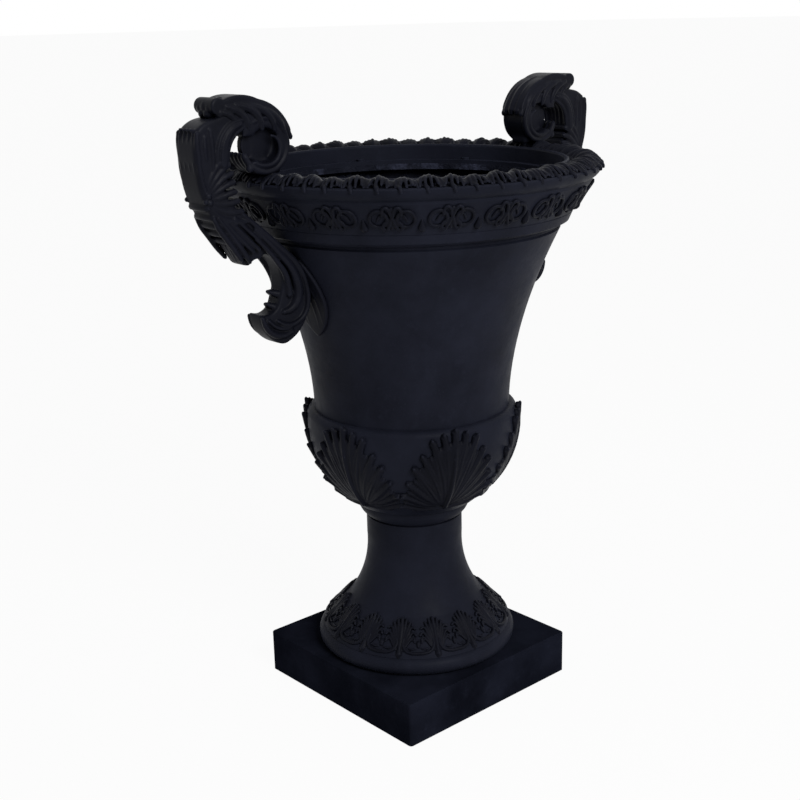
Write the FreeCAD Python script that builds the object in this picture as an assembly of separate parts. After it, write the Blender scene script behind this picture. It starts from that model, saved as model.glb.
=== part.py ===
import FreeCAD
import Part
import os
from math import cos, radians, sin, sqrt

# Cast-iron garden urn planter on a square plinth, with two scroll handles.
# Millimetres.  +Z is up, the origin is the middle of the plinth's underside,
# and the two handles lie along X.

# ---------------------------------------------------------------- driving sizes
plinth_side = 296.0          # square block under the foot
plinth_height = 60.0
plinth_wall = 8.0
plinth_arris = 1.5           # small bevel on the block's upper edges
plinth_corner = 4.0          # rounding of its upright corners

foot_radius = 138.0          # widest part of the foot's torus
foot_torus_height = 24.0
foot_torus_bulge = 9.0
foot_fillet_height = 4.0
foot_band_drop = 37.0        # how far the sloping band comes in
foot_band_height = 38.0
stem_radius = 66.0
stem_height = 120.0          # from the band's upper edge to the collar groove
stem_cove_swell = 9.0        # the hollow curve's bulge over the stem, part way up
stem_cove_middle = 32.0
stem_cove_height = 92.0
socle_wall = 7.0

groove_depth = 3.0
groove_height = 3.0
knop_radius = 77.5           # upper edge of the ring under the bowl
knop_height = 22.0
knop_swell = 8.5             # how far the ring has swollen at half its height
knop_bore = 50.0

bowl_radius = 142.0          # the bowl is a part of a ball
bowl_centre_rise = 114.0     # the ball's middle over the bowl's underside
bowl_height = 133.0
bowl_wall = 8.0
bowl_base = 10.0

bell_base_radius = 131.5
bell_top_radius = 197.5
bell_height = 238.0
bell_curve = 1.8             # exponent of the flare
bell_wall = 7.0
bell_flange_inner = 108.0
flange_thickness = 8.0

neck_groove_height = 3.0
neck_groove_depth = 3.0
neck_fillet_height = 16.0
neck_fillet_spread = 16.0
neck_fillet_round = 0.3      # share of the fillet's size taken off its corner
band_inset = 0.5             # step in from the fillet to the frieze
band_height = 38.0
band_spread = 24.0           # how far the frieze leans out
neck_flange_inner = 188.0

rim_radius = 249.5
rim_undercut = 11.6          # slope of the overhanging fascia
rim_fascia_height = 14.0
rim_soffit_rise = 4.0
rim_lip = 2.0
rim_foot = 5.0
collar_inner = 201.4
collar_wall = 4.6
collar_bead = 4.0
border_height = 12.0
border_edge = 3.0            # set back from the rim's outer edge
border_flutes = 54
flute_radius = 3.0

leaf_count = 6
leaf_phase = 10.0            # degrees from the handles to a leaf's midrib
leaf_thickness = 8.0
leaf_rise = 4.0              # the tips stand this far over the bowl's edge

palmette_count = 15
palmette_phase = 0.8
palmette_relief = 4.0
loop_width = 3.5
loop_bead_radius = 3.2

motif_count = 18
motif_phase = 3.0
motif_relief = 4.0
frieze_bead_radius = 4.0

handle_width = 38.0
tail_width = 26.0
volute_radius = 33.0
volute_recess = 20.0
volute_recess_depth = 14.0
volute_web_reach = 15.0      # the web ends here, so the scroll is open outwards
volute_mouth_low = 17.0
volute_mouth_high = 12.0
volute_mouth_length = 30.0
volute_inset = 15.5          # the volute's middle inside the rim's edge
volute_rise = 43.0           # and over the rim's top
tail_seat_rise = 176.0       # the lower fixing over the bell's foot
crest_width = 38.0
backing_thickness = 6.0
backing_half_width = 32.0

tie_rod_radius = 8.0
tie_rod_hole = 9.0
tie_washer_radius = 20.0
tie_washer_thickness = 3.0
tie_nut_flats = 24.0
tie_nut_height = 13.0
tie_rod_spare = 6.0
drain_radius = 6.0
drain_circle = 32.0
drain_count = 3

bolt_radius = 4.0
bolt_hole = 4.3
bolt_flats = 13.0
bolt_head_height = 5.0
bolt_grip = 20.0             # depth of a handle bolt in the handle
rim_bolt_inset = 12.0        # the upper bolt, inwards of the volute's middle
bolt_spotface = 9.0
bolt_boss = 13.0
bell_boss_depth = 8.0        # the boss inside the bell's wall
pad_margin = 4.0             # round the boss, on the rim's border
pad_height = 13.0
pad_bed = 3.0                # how far the pad reaches down beside the border's crest

screw_radius = 2.9
screw_hole = 3.1
screw_head_radius = 5.0
screw_head_height = 3.0
bowl_screw_count = 6
bowl_screw_circle = 116.0
rim_screw_count = 8
rim_screw_circle = 194.5

rivet_radius = 2.5
rivet_hole = 2.7
rivet_head_radius = 5.0
rivet_head_height = 2.5
rivet_levels = (45.0, 95.0)  # over the bowl's underside

seat_gap = 0.3               # between curved castings that bed on each other

# ---------------------------------------------------------------- derived levels
z_foot = plinth_height
z_band = z_foot + foot_torus_height + foot_fillet_height
z_band_top = z_band + foot_band_height
z_groove = z_band_top + stem_height
z_knop = z_groove + groove_height
z_bowl = z_knop + knop_height
z_ball = z_bowl + bowl_centre_rise
z_bell = z_bowl + bowl_height
z_neck = z_bell + bell_height
z_fillet = z_neck + 2 * neck_groove_height
z_frieze = z_fillet + neck_fillet_height
z_rim = z_frieze + band_height
z_fascia = z_rim + rim_soffit_rise
z_fascia_top = z_fascia + rim_fascia_height
z_border = z_fascia_top + rim_lip
z_border_top = z_border + border_height
z_volute = z_border + volute_rise
z_tail = z_bell + tail_seat_rise

band_foot_radius = foot_radius - foot_torus_bulge
band_top_radius = band_foot_radius - foot_band_drop
fillet_radius = bell_top_radius + neck_fillet_spread
frieze_foot_radius = fillet_radius - band_inset
frieze_top_radius = frieze_foot_radius + band_spread
volute_r = rim_radius - volute_inset
rim_bolt_r = volute_r - rim_bolt_inset
collar_outer = collar_inner + collar_wall

parts = {}


# ---------------------------------------------------------------- small helpers
def at(r, z):
    """A point of a profile: distance from the axis and height."""
    return FreeCAD.Vector(r, 0, z)


def closed_outline(start, steps):
    """A closed wire in the XZ plane; a step is a corner, or an arc's middle and end."""
    edges = []
    here = at(*start)
    for step in steps:
        there = at(*step[-1])
        if len(step) == 2:
            edges.append(Part.Arc(here, at(*step[0]), there).toShape())
        else:
            edges.append(Part.LineSegment(here, there).toShape())
        here = there
    if here.distanceToPoint(at(*start)) > 1e-6:
        edges.append(Part.LineSegment(here, at(*start)).toShape())
    return Part.Wire(edges)


def turned(start, steps):
    """A profile turned once around the urn's axis."""
    face = Part.Face(closed_outline(start, steps))
    return face.revolve(FreeCAD.Vector(0, 0, 0), FreeCAD.Vector(0, 0, 1), 360)


def straight(*corners):
    """Steps that are plain corners."""
    return [(corner,) for corner in corners]


def spun(shape, angle):
    """A copy turned about the urn's axis by an angle in degrees."""
    copy = shape.copy()
    copy.rotate(FreeCAD.Vector(0, 0, 0), FreeCAD.Vector(0, 0, 1), angle)
    return copy


def ring_of(shape, count, phase=0.0):
    """Equal copies of one shape round the axis."""
    return [spun(shape, phase + 360.0 * k / count) for k in range(count)]


def upright(radius, height, x, z):
    """A vertical cylinder over the X axis."""
    return Part.makeCylinder(radius, height, FreeCAD.Vector(x, 0, z))


def across(radius, length, x, z):
    """A cylinder along +X that starts at x."""
    return Part.makeCylinder(radius, length, FreeCAD.Vector(x, 0, z), FreeCAD.Vector(1, 0, 0))


def hexagon(flats, height, x, z):
    """A hexagonal prism standing on z, with its middle at x."""
    reach = flats / 2 / cos(radians(30))
    corners = [FreeCAD.Vector(x + reach * cos(radians(60 * k)), reach * sin(radians(60 * k)), z)
               for k in range(7)]
    return Part.Face(Part.makePolygon(corners)).extrude(FreeCAD.Vector(0, 0, height))


def tipped_to_x(shape, x, z):
    """Turns an upright fastener about (x, 0, z) so that its top points along +X."""
    copy = shape.copy()
    copy.rotate(FreeCAD.Vector(x, 0, z), FreeCAD.Vector(0, 1, 0), 90)
    return copy


def facing_prism(start, steps, near, far):
    """An outline of (sideways, height) pairs, pushed out along +X from near to far."""
    flat = Part.Face(closed_outline(start, steps))
    flat.rotate(FreeCAD.Vector(0, 0, 0), FreeCAD.Vector(0, 0, 1), 90)
    flat.translate(FreeCAD.Vector(near, 0, 0))
    return flat.extrude(FreeCAD.Vector(far - near, 0, 0))


def side_plate(start, steps, width):
    """An outline in the XZ plane, made as wide as told and centred on it."""
    face = Part.Face(closed_outline(start, steps))
    face.translate(FreeCAD.Vector(0, -width / 2, 0))
    return face.extrude(FreeCAD.Vector(0, width, 0))


def write(name, *solids):
    """Keeps a node's solids under its name."""
    parts[name] = Part.makeCompound([one for shape in solids for one in shape.Solids])


# ---------------------------------------------------------------- shared surfaces
def ball_radius_at(z, radius):
    """Radius of a ball around the bowl's middle, at a height."""
    return sqrt(radius ** 2 - (z - z_ball) ** 2)


def bell_radius_at(z):
    """Outer radius of the bell's flare at a height."""
    rise = (z - z_bell) / bell_height
    return bell_base_radius + (bell_top_radius - bell_base_radius) * rise ** bell_curve


def frieze_radius_at(z):
    """Radius of the frieze's leaning face at a height."""
    return frieze_foot_radius + band_spread * (z - z_frieze) / band_height


def flare_edge(offset, low, high):
    """The bell's flare as a smooth edge, moved out by an offset."""
    levels = 7
    heights = [low + (high - low) * k / (levels - 1) for k in range(levels)]
    curve = Part.BSplineCurve()
    curve.interpolate([at(bell_radius_at(z) + offset, z) for z in heights])
    return curve.toShape()


def bell_skin(inner, outer, low, high):
    """A layer over the bell's flare, between two offsets from it."""
    inside = flare_edge(inner, low, high)
    outside = flare_edge(outer, low, high)
    foot = Part.LineSegment(at(bell_radius_at(low) + inner, low),
                            at(bell_radius_at(low) + outer, low)).toShape()
    head = Part.LineSegment(at(bell_radius_at(high) + inner, high),
                            at(bell_radius_at(high) + outer, high)).toShape()
    face = Part.Face(Part.Wire([foot, outside, head, inside]))
    return face.revolve(FreeCAD.Vector(0, 0, 0), FreeCAD.Vector(0, 0, 1), 360)


def drains(z, height):
    """Upright drain holes round the tie rod."""
    hole = upright(drain_radius, height, drain_circle, z)
    return ring_of(hole, drain_count, 90)


# ---------------------------------------------------------------- plinth and foot
def make_plinth():
    """A square block, open underneath, with a hole for the tie rod."""
    half = plinth_side / 2
    block = Part.makeBox(plinth_side, plinth_side, plinth_height, FreeCAD.Vector(-half, -half, 0))
    upright_edges = [edge for edge in block.Edges if edge.BoundBox.ZLength > plinth_wall]
    block = block.makeFillet(plinth_corner, upright_edges)
    upper = [edge for edge in block.Edges if edge.BoundBox.ZMin > plinth_height / 2]
    block = block.makeChamfer(plinth_arris, upper)
    room = plinth_side - 2 * plinth_wall
    hollow = Part.makeBox(room, room, plinth_height - plinth_wall,
                          FreeCAD.Vector(-room / 2, -room / 2, 0))
    deck = plinth_height - plinth_wall
    holes = [upright(tie_rod_hole, plinth_wall, 0, deck)] + drains(deck, plinth_wall)
    write("plinth", block.cut(hollow).cut(Part.makeCompound(holes)))


def make_socle():
    """The round foot: torus, sloping band and hollow stem in one casting."""
    torus_middle = z_foot + foot_torus_height / 2
    torus_top = z_foot + foot_torus_height
    cove_r = stem_radius + stem_cove_swell
    cove_z = z_band_top + stem_cove_middle
    cove_top = z_band_top + stem_cove_height
    wall = socle_wall
    plate = z_knop - flange_thickness
    body = turned(
        (tie_rod_hole, plate),
        straight((stem_radius - wall, plate), (stem_radius - wall, cove_top))
        + [((cove_r - wall, cove_z), (band_top_radius - wall, z_band_top))]
        + straight((band_foot_radius - wall, z_band), (band_foot_radius - wall, z_foot),
                   (band_foot_radius, z_foot))
        + [((foot_radius, torus_middle), (band_foot_radius, torus_top))]
        + straight((band_foot_radius + 1.5, torus_top), (band_foot_radius, z_band),
                   (band_top_radius, z_band_top))
        + [((cove_r, cove_z), (stem_radius, cove_top))]
        + straight((stem_radius, z_groove), (stem_radius - groove_depth, z_groove),
                   (stem_radius - groove_depth, z_knop), (tie_rod_hole, z_knop)))
    write("socle", body.cut(Part.makeCompound(drains(plate, z_knop - plate))))


def band_relief(outline):
    """An ornament on the foot's sloping band, from its outline seen from the front."""
    foot = (band_foot_radius, z_band)
    head = (band_top_radius, z_band_top)
    layer = spun(turned(foot, straight((foot[0] + palmette_relief, z_band),
                                       (head[0] + palmette_relief, z_band_top), head)), 180)
    return layer.common(facing_prism(*outline, 60, foot_radius + 20))


def make_palmettes():
    """A ring of fan-shaped palmettes on the foot."""
    z = z_band
    outline = ((-4, z), [((4, z),), ((2.5, z + 8), (4, z + 15)),
                         ((15, z + 8), (21, z + 18)), ((19, z + 27), (13, z + 31)),
                         ((9, z + 35), (5, z + 34)), ((0, z + 38), (-5, z + 34)),
                         ((-9, z + 35), (-13, z + 31)), ((-19, z + 27), (-21, z + 18)),
                         ((-15, z + 8), (-4, z + 15)), ((-2.5, z + 8), (-4, z))])
    write("foot_palmettes", *ring_of(band_relief(outline), palmette_count, palmette_phase))


def make_foot_loops():
    """Ribbon loops with a bead between each two palmettes."""
    z = z_band + 1
    w = loop_width
    reach = 10.5
    loop = band_relief(((-reach, z + 8), [((0, z + w), (reach, z + 8)), ((reach + w / 2, z + 5),),
                                          ((0, z), (-reach - w / 2, z + 5))]))
    bead = band_relief(bead_outline(z + w + 5))
    step = 180.0 / palmette_count
    write("foot_loops", *ring_of(loop, palmette_count, palmette_phase + step),
          *ring_of(bead, palmette_count, palmette_phase + step))


def bead_outline(z):
    """A small round bead from the front, its middle at a height."""
    r = loop_bead_radius
    return (-r, z), [((0, z + r), (r, z)), ((0, z - r), (-r, z))]


def make_knop_ring():
    """The moulded ring between the stem and the bowl."""
    foot = stem_radius + 1
    body = turned((knop_bore, z_knop),
                  straight((foot, z_knop))
                  + [((foot + knop_swell, z_knop + knop_height / 2), (knop_radius, z_bowl))]
                  + straight((knop_bore, z_bowl)))
    write("knop_ring", body)


# ---------------------------------------------------------------- bowl and leaves
def rivet_places():
    """Height and wall radius of each rivet level."""
    return [(z_bowl + level, ball_radius_at(z_bowl + level, bowl_radius)) for level in rivet_levels]


def wall_inside(r):
    """Inner radius of the bowl's wall, level with an outer radius."""
    return r - bowl_wall * bowl_radius / r


def make_bowl():
    """The ball-shaped lower bowl with an inner flange for the bell."""
    inner = bowl_radius - bowl_wall
    top_r = ball_radius_at(z_bell, bowl_radius)
    base_top = z_bowl + bowl_base
    under_flange = z_bell - flange_thickness
    middle = (z_bowl + z_bell) / 2
    body = turned(
        (tie_rod_hole, z_bowl),
        straight((ball_radius_at(z_bowl, bowl_radius), z_bowl))
        + [((ball_radius_at(middle, bowl_radius), middle), (top_r, z_bell))]
        + straight((bell_flange_inner, z_bell), (bell_flange_inner, under_flange),
                   (ball_radius_at(under_flange, inner), under_flange))
        + [((ball_radius_at(middle, inner), middle), (ball_radius_at(base_top, inner), base_top))]
        + straight((tie_rod_hole, base_top)))
    cuts = drains(z_bowl, bowl_base)
    screw = upright(screw_hole, flange_thickness, bowl_screw_circle, under_flange)
    cuts += ring_of(screw, bowl_screw_count)
    for z, r in rivet_places():
        hole = across(rivet_hole, 4 * bowl_wall, r - 3 * bowl_wall, z)
        seat = across(rivet_head_radius + 0.5, bowl_wall, wall_inside(r) - 1 - bowl_wall, z)
        cuts += ring_of(hole, leaf_count, leaf_phase) + ring_of(seat, leaf_count, leaf_phase)
    write("bowl", body.cut(Part.makeCompound(cuts)))


def leaf_outline():
    """An acanthus leaf from the front: four lobes down each side of a broad tip."""
    tip = z_bell + leaf_rise
    lobes = [  # degrees from the midrib and height of each hollow and lobe, from the tip down
        (7.0, tip - 17, 14.5, tip - 13), (14.0, tip - 29, 21.0, tip - 32),
        (19.5, tip - 48, 26.0, tip - 55), (24.0, tip - 72, 28.5, tip - 82)]
    base = z_bowl + 6

    def place(angle, z):
        return ball_radius_at(z, bowl_radius + leaf_thickness) * sin(radians(angle)), z

    right = [place(4.5, tip - 2)]
    for hollow_a, hollow_z, lobe_a, lobe_z in lobes:
        right.append(place(hollow_a, hollow_z))
        right.append(place(lobe_a, lobe_z))
    foot = place(15.0, base + 14)
    points = [(0.0, tip)] + right + [foot, (0.0, base)]
    mirrored = [(-y, z) for y, z in reversed(points[1:-1])]
    return points[0], [(point,) for point in points[1:] + mirrored]


def make_leaves():
    """Six acanthus leaves laid on the bowl, each held by two rivets."""
    inside = bowl_radius + seat_gap
    outside = bowl_radius + leaf_thickness
    low = z_bowl + 5
    high = z_bell + leaf_rise + 1
    middle = (low + high) / 2
    layer = turned((ball_radius_at(low, inside), low),
                   [((ball_radius_at(low, outside), low),),
                    ((ball_radius_at(middle, outside), middle), (ball_radius_at(high, outside), high)),
                    ((ball_radius_at(high, inside), high),),
                    ((ball_radius_at(middle, inside), middle), (ball_radius_at(low, inside), low))])
    leaf = layer.common(facing_prism(*leaf_outline(), 20, outside + 20))
    holes = []
    rivets = []
    for z, r in rivet_places():
        wall = wall_inside(r)
        holes.append(across(rivet_hole, 4 * bowl_wall, wall - bowl_wall, z))
        head = across(rivet_head_radius, rivet_head_height, wall - rivet_head_height - 1, z)
        reach = r + leaf_thickness * 0.6 - wall
        rivets.append(head.fuse(across(rivet_radius, reach + 1, wall - 1, z)).removeSplitter())
    leaf = leaf.cut(Part.makeCompound(holes))
    for k in range(leaf_count):
        write("acanthus_leaf_%d" % (k + 1), spun(leaf, leaf_phase + 360.0 * k / leaf_count))
    write("leaf_rivets", *[one for rivet in rivets for one in ring_of(rivet, leaf_count, leaf_phase)])


# ---------------------------------------------------------------- bell and rim
def make_bell():
    """The flared upper body, from the bowl's flange to the flange under the rim."""
    top_flange = z_rim - flange_thickness
    inner_neck = bell_top_radius - bell_wall
    foot_top = z_bell + flange_thickness
    edges = [flare_edge(0, z_bell, z_neck)]
    path = [(bell_top_radius, z_neck), (bell_top_radius - neck_groove_depth, z_neck + 2),
            (bell_top_radius - neck_groove_depth, z_neck + 2 + neck_groove_height),
            (bell_top_radius + 0.5, z_fillet),
            (fillet_radius - neck_fillet_round * neck_fillet_spread,
             z_fillet + neck_fillet_round * neck_fillet_height),
            (fillet_radius, z_frieze), (frieze_foot_radius, z_frieze),
            (frieze_top_radius, z_rim), (neck_flange_inner, z_rim),
            (neck_flange_inner, top_flange),
            (frieze_radius_at(top_flange) - bell_wall, top_flange),
            (frieze_foot_radius - bell_wall, z_frieze), (inner_neck, z_fillet),
            (inner_neck, z_neck)]
    for a, b in zip(path, path[1:]):
        edges.append(Part.LineSegment(at(*a), at(*b)).toShape())
    edges.append(flare_edge(-bell_wall, foot_top, z_neck))
    foot = [(bell_radius_at(foot_top) - bell_wall, foot_top), (bell_flange_inner, foot_top),
            (bell_flange_inner, z_bell), (bell_base_radius, z_bell)]
    for a, b in zip(foot, foot[1:]):
        edges.append(Part.LineSegment(at(*a), at(*b)).toShape())
    face = Part.Face(Part.Wire(Part.__sortEdges__(edges)))
    body = face.revolve(FreeCAD.Vector(0, 0, 0), FreeCAD.Vector(0, 0, 1), 360)
    inner = bell_radius_at(z_tail) - bell_wall
    boss = across(bolt_boss, bell_boss_depth + bell_wall / 2, inner - bell_boss_depth, z_tail)
    body = body.fuse(Part.makeCompound(ring_of(boss, 2)))
    cuts = ring_of(across(bolt_hole, 4 * bell_wall, inner - 2 * bell_wall, z_tail), 2)
    cuts += ring_of(upright(screw_hole, flange_thickness, bowl_screw_circle, z_bell),
                    bowl_screw_count)
    cuts += ring_of(upright(screw_hole, flange_thickness, rim_screw_circle, top_flange),
                    rim_screw_count, 180.0 / rim_screw_count)
    write("bell_body", body.cut(Part.makeCompound(cuts)))


def make_rim():
    """The overhanging rim, its soffit resting on the bell's upper flange."""
    fascia_foot = rim_radius - rim_undercut
    fascia_middle = (rim_radius - rim_undercut * 0.35, z_fascia + rim_fascia_height * 0.42)
    foot_top = z_rim + rim_foot
    body = turned(
        (neck_flange_inner + 1, z_rim),
        straight((frieze_top_radius, z_rim), (fascia_foot, z_fascia))
        + [(fascia_middle, (rim_radius, z_fascia_top))]
        + straight((rim_radius - rim_lip, z_border), (collar_outer, z_border),
                   (collar_outer, foot_top), (neck_flange_inner + 1, foot_top)))
    cuts = ring_of(upright(bolt_hole, 60, rim_bolt_r, z_rim - 10), 2)
    cuts += ring_of(upright(bolt_spotface, 12, rim_bolt_r, z_fascia + 1 - 12), 2)
    cuts += ring_of(upright(screw_hole, rim_foot, rim_screw_circle, z_rim), rim_screw_count,
                    180.0 / rim_screw_count)
    write("rim", body.cut(Part.makeCompound(cuts)))


def make_inner_collar():
    """The smooth upright ring inside the mouth, with a bead along its top."""
    foot = z_rim + rim_foot
    bead_r = (collar_inner + collar_outer + 2) / 2
    body = turned((collar_inner, foot),
                  straight((collar_outer, foot), (collar_outer, z_border),
                           (collar_outer + 2, z_border), (collar_outer + 2, z_border + 2))
                  + [((bead_r, z_border + 2 + collar_bead), (collar_inner, z_border + 2))])
    write("inner_collar", body)


def border_profile(extra):
    """Section of the leaf border on top of the rim, grown by an extra."""
    inner = collar_outer + 2 + seat_gap - extra
    outer = rim_radius - border_edge + extra
    crest = ((inner + outer) / 2, z_border_top + extra)
    return (inner, z_border), ([((outer, z_border),), ((outer - 1.5, z_border + 4 + extra),)]
                               + [(crest, (inner + 3, z_border + 5 + extra))]
                               + [((inner, z_border + 3),)])


def make_border():
    """The carved leaf border, fluted across its outer edge."""
    body = turned(*border_profile(0))
    outer = rim_radius - border_edge
    flute = upright(flute_radius, border_height + 2, outer + 1, z_border - 1)
    cuts = ring_of(flute, border_flutes)
    cuts += ring_of(upright(bolt_hole, border_height + 4, rim_bolt_r, z_border - 2), 2)
    write("rim_leaf_border", body.cut(Part.makeCompound(cuts)))


def make_frieze():
    """Strapwork motifs round the neck, with a bead between each two."""
    low = z_frieze
    high = z_rim
    near = frieze_radius_at(low)
    far = frieze_radius_at(high)
    # the turned layer's seam is put behind the motif
    layer = spun(turned((near, low), straight((near + motif_relief, low),
                                              (far + motif_relief, high), (far, high))), 180)
    middle = (low + high) / 2

    def disc(y, z, radius):
        centre = FreeCAD.Vector(near - 60, y, z)
        return Part.makeCylinder(radius, 100, centre, FreeCAD.Vector(1, 0, 0))

    front = disc(0, middle, 6.5)
    for side in (-1, 1):
        for y, z, lobe in [(17, middle, 11), (9, middle + 9.5, 6), (8, middle - 9.5, 7)]:
            front = front.fuse(disc(side * y, z, lobe))
    front = front.cut(disc(17, middle, 7)).cut(disc(-17, middle, 7)).removeSplitter()
    motif = layer.common(front)
    bead = layer.common(disc(0, low + 8, frieze_bead_radius))
    write("frieze_motifs", *ring_of(motif, motif_count, motif_phase))
    write("frieze_beads", *ring_of(bead, motif_count, motif_phase + 180.0 / motif_count))


# ---------------------------------------------------------------- handles
def over_volute(x, z):
    """A point told from the volute's middle."""
    return volute_r + x, z_volute + z


def from_tail(x, z):
    """A point told from the handle's lower seat on the bell."""
    return bell_radius_at(z_tail) + backing_thickness + x, z_tail + z


def scroll_outline():
    """Side view of the handle: volute, outer sweep, stem and turned-out tail."""
    v = over_volute
    t = from_tail
    return v(29, 20), [
        (v(54, 11), v(62, -15)), (v(61, -42), v(43, -68)),
        (t(31, 60),), (t(11, 31), t(0, 0)), (t(9, -34), t(40, -55)), (t(63, -42), t(75, -12)),
        (t(58, -14), t(45, 2)), (t(41, 32), t(64, 60)), (t(84, 48), t(96, 51)),
        (v(46, -122), v(56, -100)), (v(86, -62), v(96, -16)), (v(97, 8), v(91, 25)),
        (v(80, 32), v(66, 35)), (v(34, 41), v(0, 33)), (v(-24, 23), v(-33, 0)),
        (v(0, -33), v(31, -11)), (v(33, 4), v(29, 20))]


def width_outline():
    """Front view of the handle: full width above, narrower from the stem down."""
    wide = handle_width / 2
    slim = tail_width / 2
    high = z_volute - 75
    low = z_tail + 60
    return (slim, z_bell), straight((slim, low), (wide, high), (wide, z_volute + 80),
                                    (-wide, z_volute + 80), (-wide, high), (-slim, low),
                                    (-slim, z_bell))


def crest_outline():
    """Side view of the crest leaf that runs over the volute and ends in a ball curl."""
    v = over_volute
    return v(-35, 10), [
        (v(-38, 15),), (v(-22, 39), v(6, 53)), (v(31, 59), v(54, 55)),
        (v(58, 57), v(62, 57.5)), (v(71.5, 48), v(62, 38.5)), (v(56, 34), v(52, 28)), (v(0, 20),),
        (v(-24, 10),)]


def make_handle(name, angle):
    """One scroll handle with its crest leaf and the leaf that backs it on the bell."""
    scroll = side_plate(*scroll_outline(), handle_width)
    scroll = scroll.common(facing_prism(*width_outline(), 0, volute_r + 200))
    half = tail_width / 2
    pad = Part.makeBox(2 * half + 2 * pad_margin, 2 * half, pad_height,
                       FreeCAD.Vector(rim_bolt_r - half, -half, z_border_top - pad_bed))
    tail_r, tail_z = from_tail(0, 0)
    boss = across(bolt_boss, bolt_grip + 10, tail_r - 12, tail_z)
    scroll = scroll.fuse(pad).fuse(boss)
    bell_room = bell_skin(-60, backing_thickness + seat_gap, z_tail - 70, z_tail + 50)
    rim_room = turned(*border_profile(seat_gap))
    scroll = scroll.cut(bell_room).cut(rim_room)
    for side in (-1, 1):
        start = side * handle_width / 2
        recess = Part.makeCylinder(volute_recess, volute_recess_depth,
                                   FreeCAD.Vector(volute_r, start, z_volute),
                                   FreeCAD.Vector(0, -side, 0))
        scroll = scroll.cut(recess)
    mouth = Part.makeBox(volute_mouth_length, handle_width, volute_mouth_low + volute_mouth_high,
                         FreeCAD.Vector(volute_r + volute_web_reach, -handle_width / 2,
                                        z_volute - volute_mouth_low))
    scroll = scroll.cut(mouth)
    upper_hole = upright(bolt_hole, bolt_grip + 12, rim_bolt_r, z_border_top - 10)
    lower_hole = across(bolt_hole, bolt_grip + 14, tail_r - 14, tail_z)
    scroll = scroll.cut(upper_hole).cut(lower_hole)
    crest = side_plate(*crest_outline(), crest_width).cut(scroll)
    crest = max(crest.Solids, key=lambda solid: solid.Volume)
    backing = bell_skin(seat_gap, backing_thickness, z_tail - 62, z_tail + 50)
    backing = backing.common(backing_prism())
    backing = backing.cut(across(bolt_hole, 60, tail_r - 40, tail_z))
    write(name + "_handle_scroll", spun(scroll, angle))
    write(name + "_handle_crest", spun(crest, angle))
    write(name + "_handle_backing", spun(backing, angle))


def backing_prism():
    """Front view of the backing leaf, pointed at its foot."""
    half = backing_half_width
    return facing_prism((0, z_tail - 58),
                        [((half * 0.7, z_tail - 36), (half, z_tail - 8)),
                         ((half * 0.9, z_tail + 20), (half * 0.5, z_tail + 46)),
                         ((-half * 0.5, z_tail + 46),),
                         ((-half * 0.9, z_tail + 20), (-half, z_tail - 8)),
                         ((-half * 0.7, z_tail - 36), (0, z_tail - 58))], 60, rim_radius)


# ---------------------------------------------------------------- fasteners
def make_tie_rod():
    """The rod that clamps plinth, foot and bowl, with its nuts and washers."""
    low_seat = plinth_height - plinth_wall
    high_seat = z_bowl + bowl_base
    nut_stack = tie_washer_thickness + tie_nut_height
    low = low_seat - nut_stack - tie_rod_spare
    high = high_seat + nut_stack + tie_rod_spare
    rod = upright(tie_rod_radius, high - low, 0, low)
    washers = [upright(tie_washer_radius, tie_washer_thickness, 0, low_seat - tie_washer_thickness),
               upright(tie_washer_radius, tie_washer_thickness, 0, high_seat)]
    nuts = [hexagon(tie_nut_flats, tie_nut_height, 0, low_seat - nut_stack),
            hexagon(tie_nut_flats, tie_nut_height, 0, high_seat + tie_washer_thickness)]
    write("tie_rod", rod)
    write("tie_rod_washers", *[one.cut(rod) for one in washers])
    write("tie_rod_nuts", *[one.cut(rod) for one in nuts])


def make_handle_bolts():
    """Two bolts for each handle: one up through the rim, one out through the bell."""
    seat = z_fascia + 1
    upper_top = z_border_top + bolt_grip
    upper = hexagon(bolt_flats, bolt_head_height, rim_bolt_r, seat - bolt_head_height)
    upper = upper.fuse(upright(bolt_radius, upper_top - seat, rim_bolt_r, seat)).removeSplitter()
    tail_r, tail_z = from_tail(0, 0)
    boss_face = bell_radius_at(z_tail) - bell_wall - bell_boss_depth
    reach = tail_r + bolt_grip - 2 - boss_face
    lower = hexagon(bolt_flats, bolt_head_height, boss_face, tail_z - bolt_head_height)
    lower = lower.fuse(upright(bolt_radius, reach, boss_face, tail_z)).removeSplitter()
    lower = tipped_to_x(lower, boss_face, tail_z)
    write("handle_bolts", *ring_of(upper, 2), *ring_of(lower, 2))


def flange_screw(circle, seat, length):
    """A cheese-headed screw standing on its point."""
    head = upright(screw_head_radius, screw_head_height, circle, seat)
    return head.fuse(upright(screw_radius, length, circle, seat - length)).removeSplitter()


def make_flange_screws():
    """Screws through the two flanged joints inside the planter."""
    bowl_seat = z_bell + flange_thickness
    rim_seat = z_rim + rim_foot
    bowl_screw = flange_screw(bowl_screw_circle, bowl_seat, 2 * flange_thickness)
    rim_screw = flange_screw(rim_screw_circle, rim_seat, rim_foot + flange_thickness)
    write("bell_screws", *ring_of(bowl_screw, bowl_screw_count))
    write("rim_screws", *ring_of(rim_screw, rim_screw_count, 180.0 / rim_screw_count))


make_plinth()
make_socle()
make_palmettes()
make_foot_loops()
make_knop_ring()
make_bowl()
make_leaves()
make_bell()
make_frieze()
make_rim()
make_inner_collar()
make_border()
make_handle("right", 0)
make_handle("left", 180)
make_tie_rod()
make_handle_bolts()
make_flange_screws()

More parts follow.
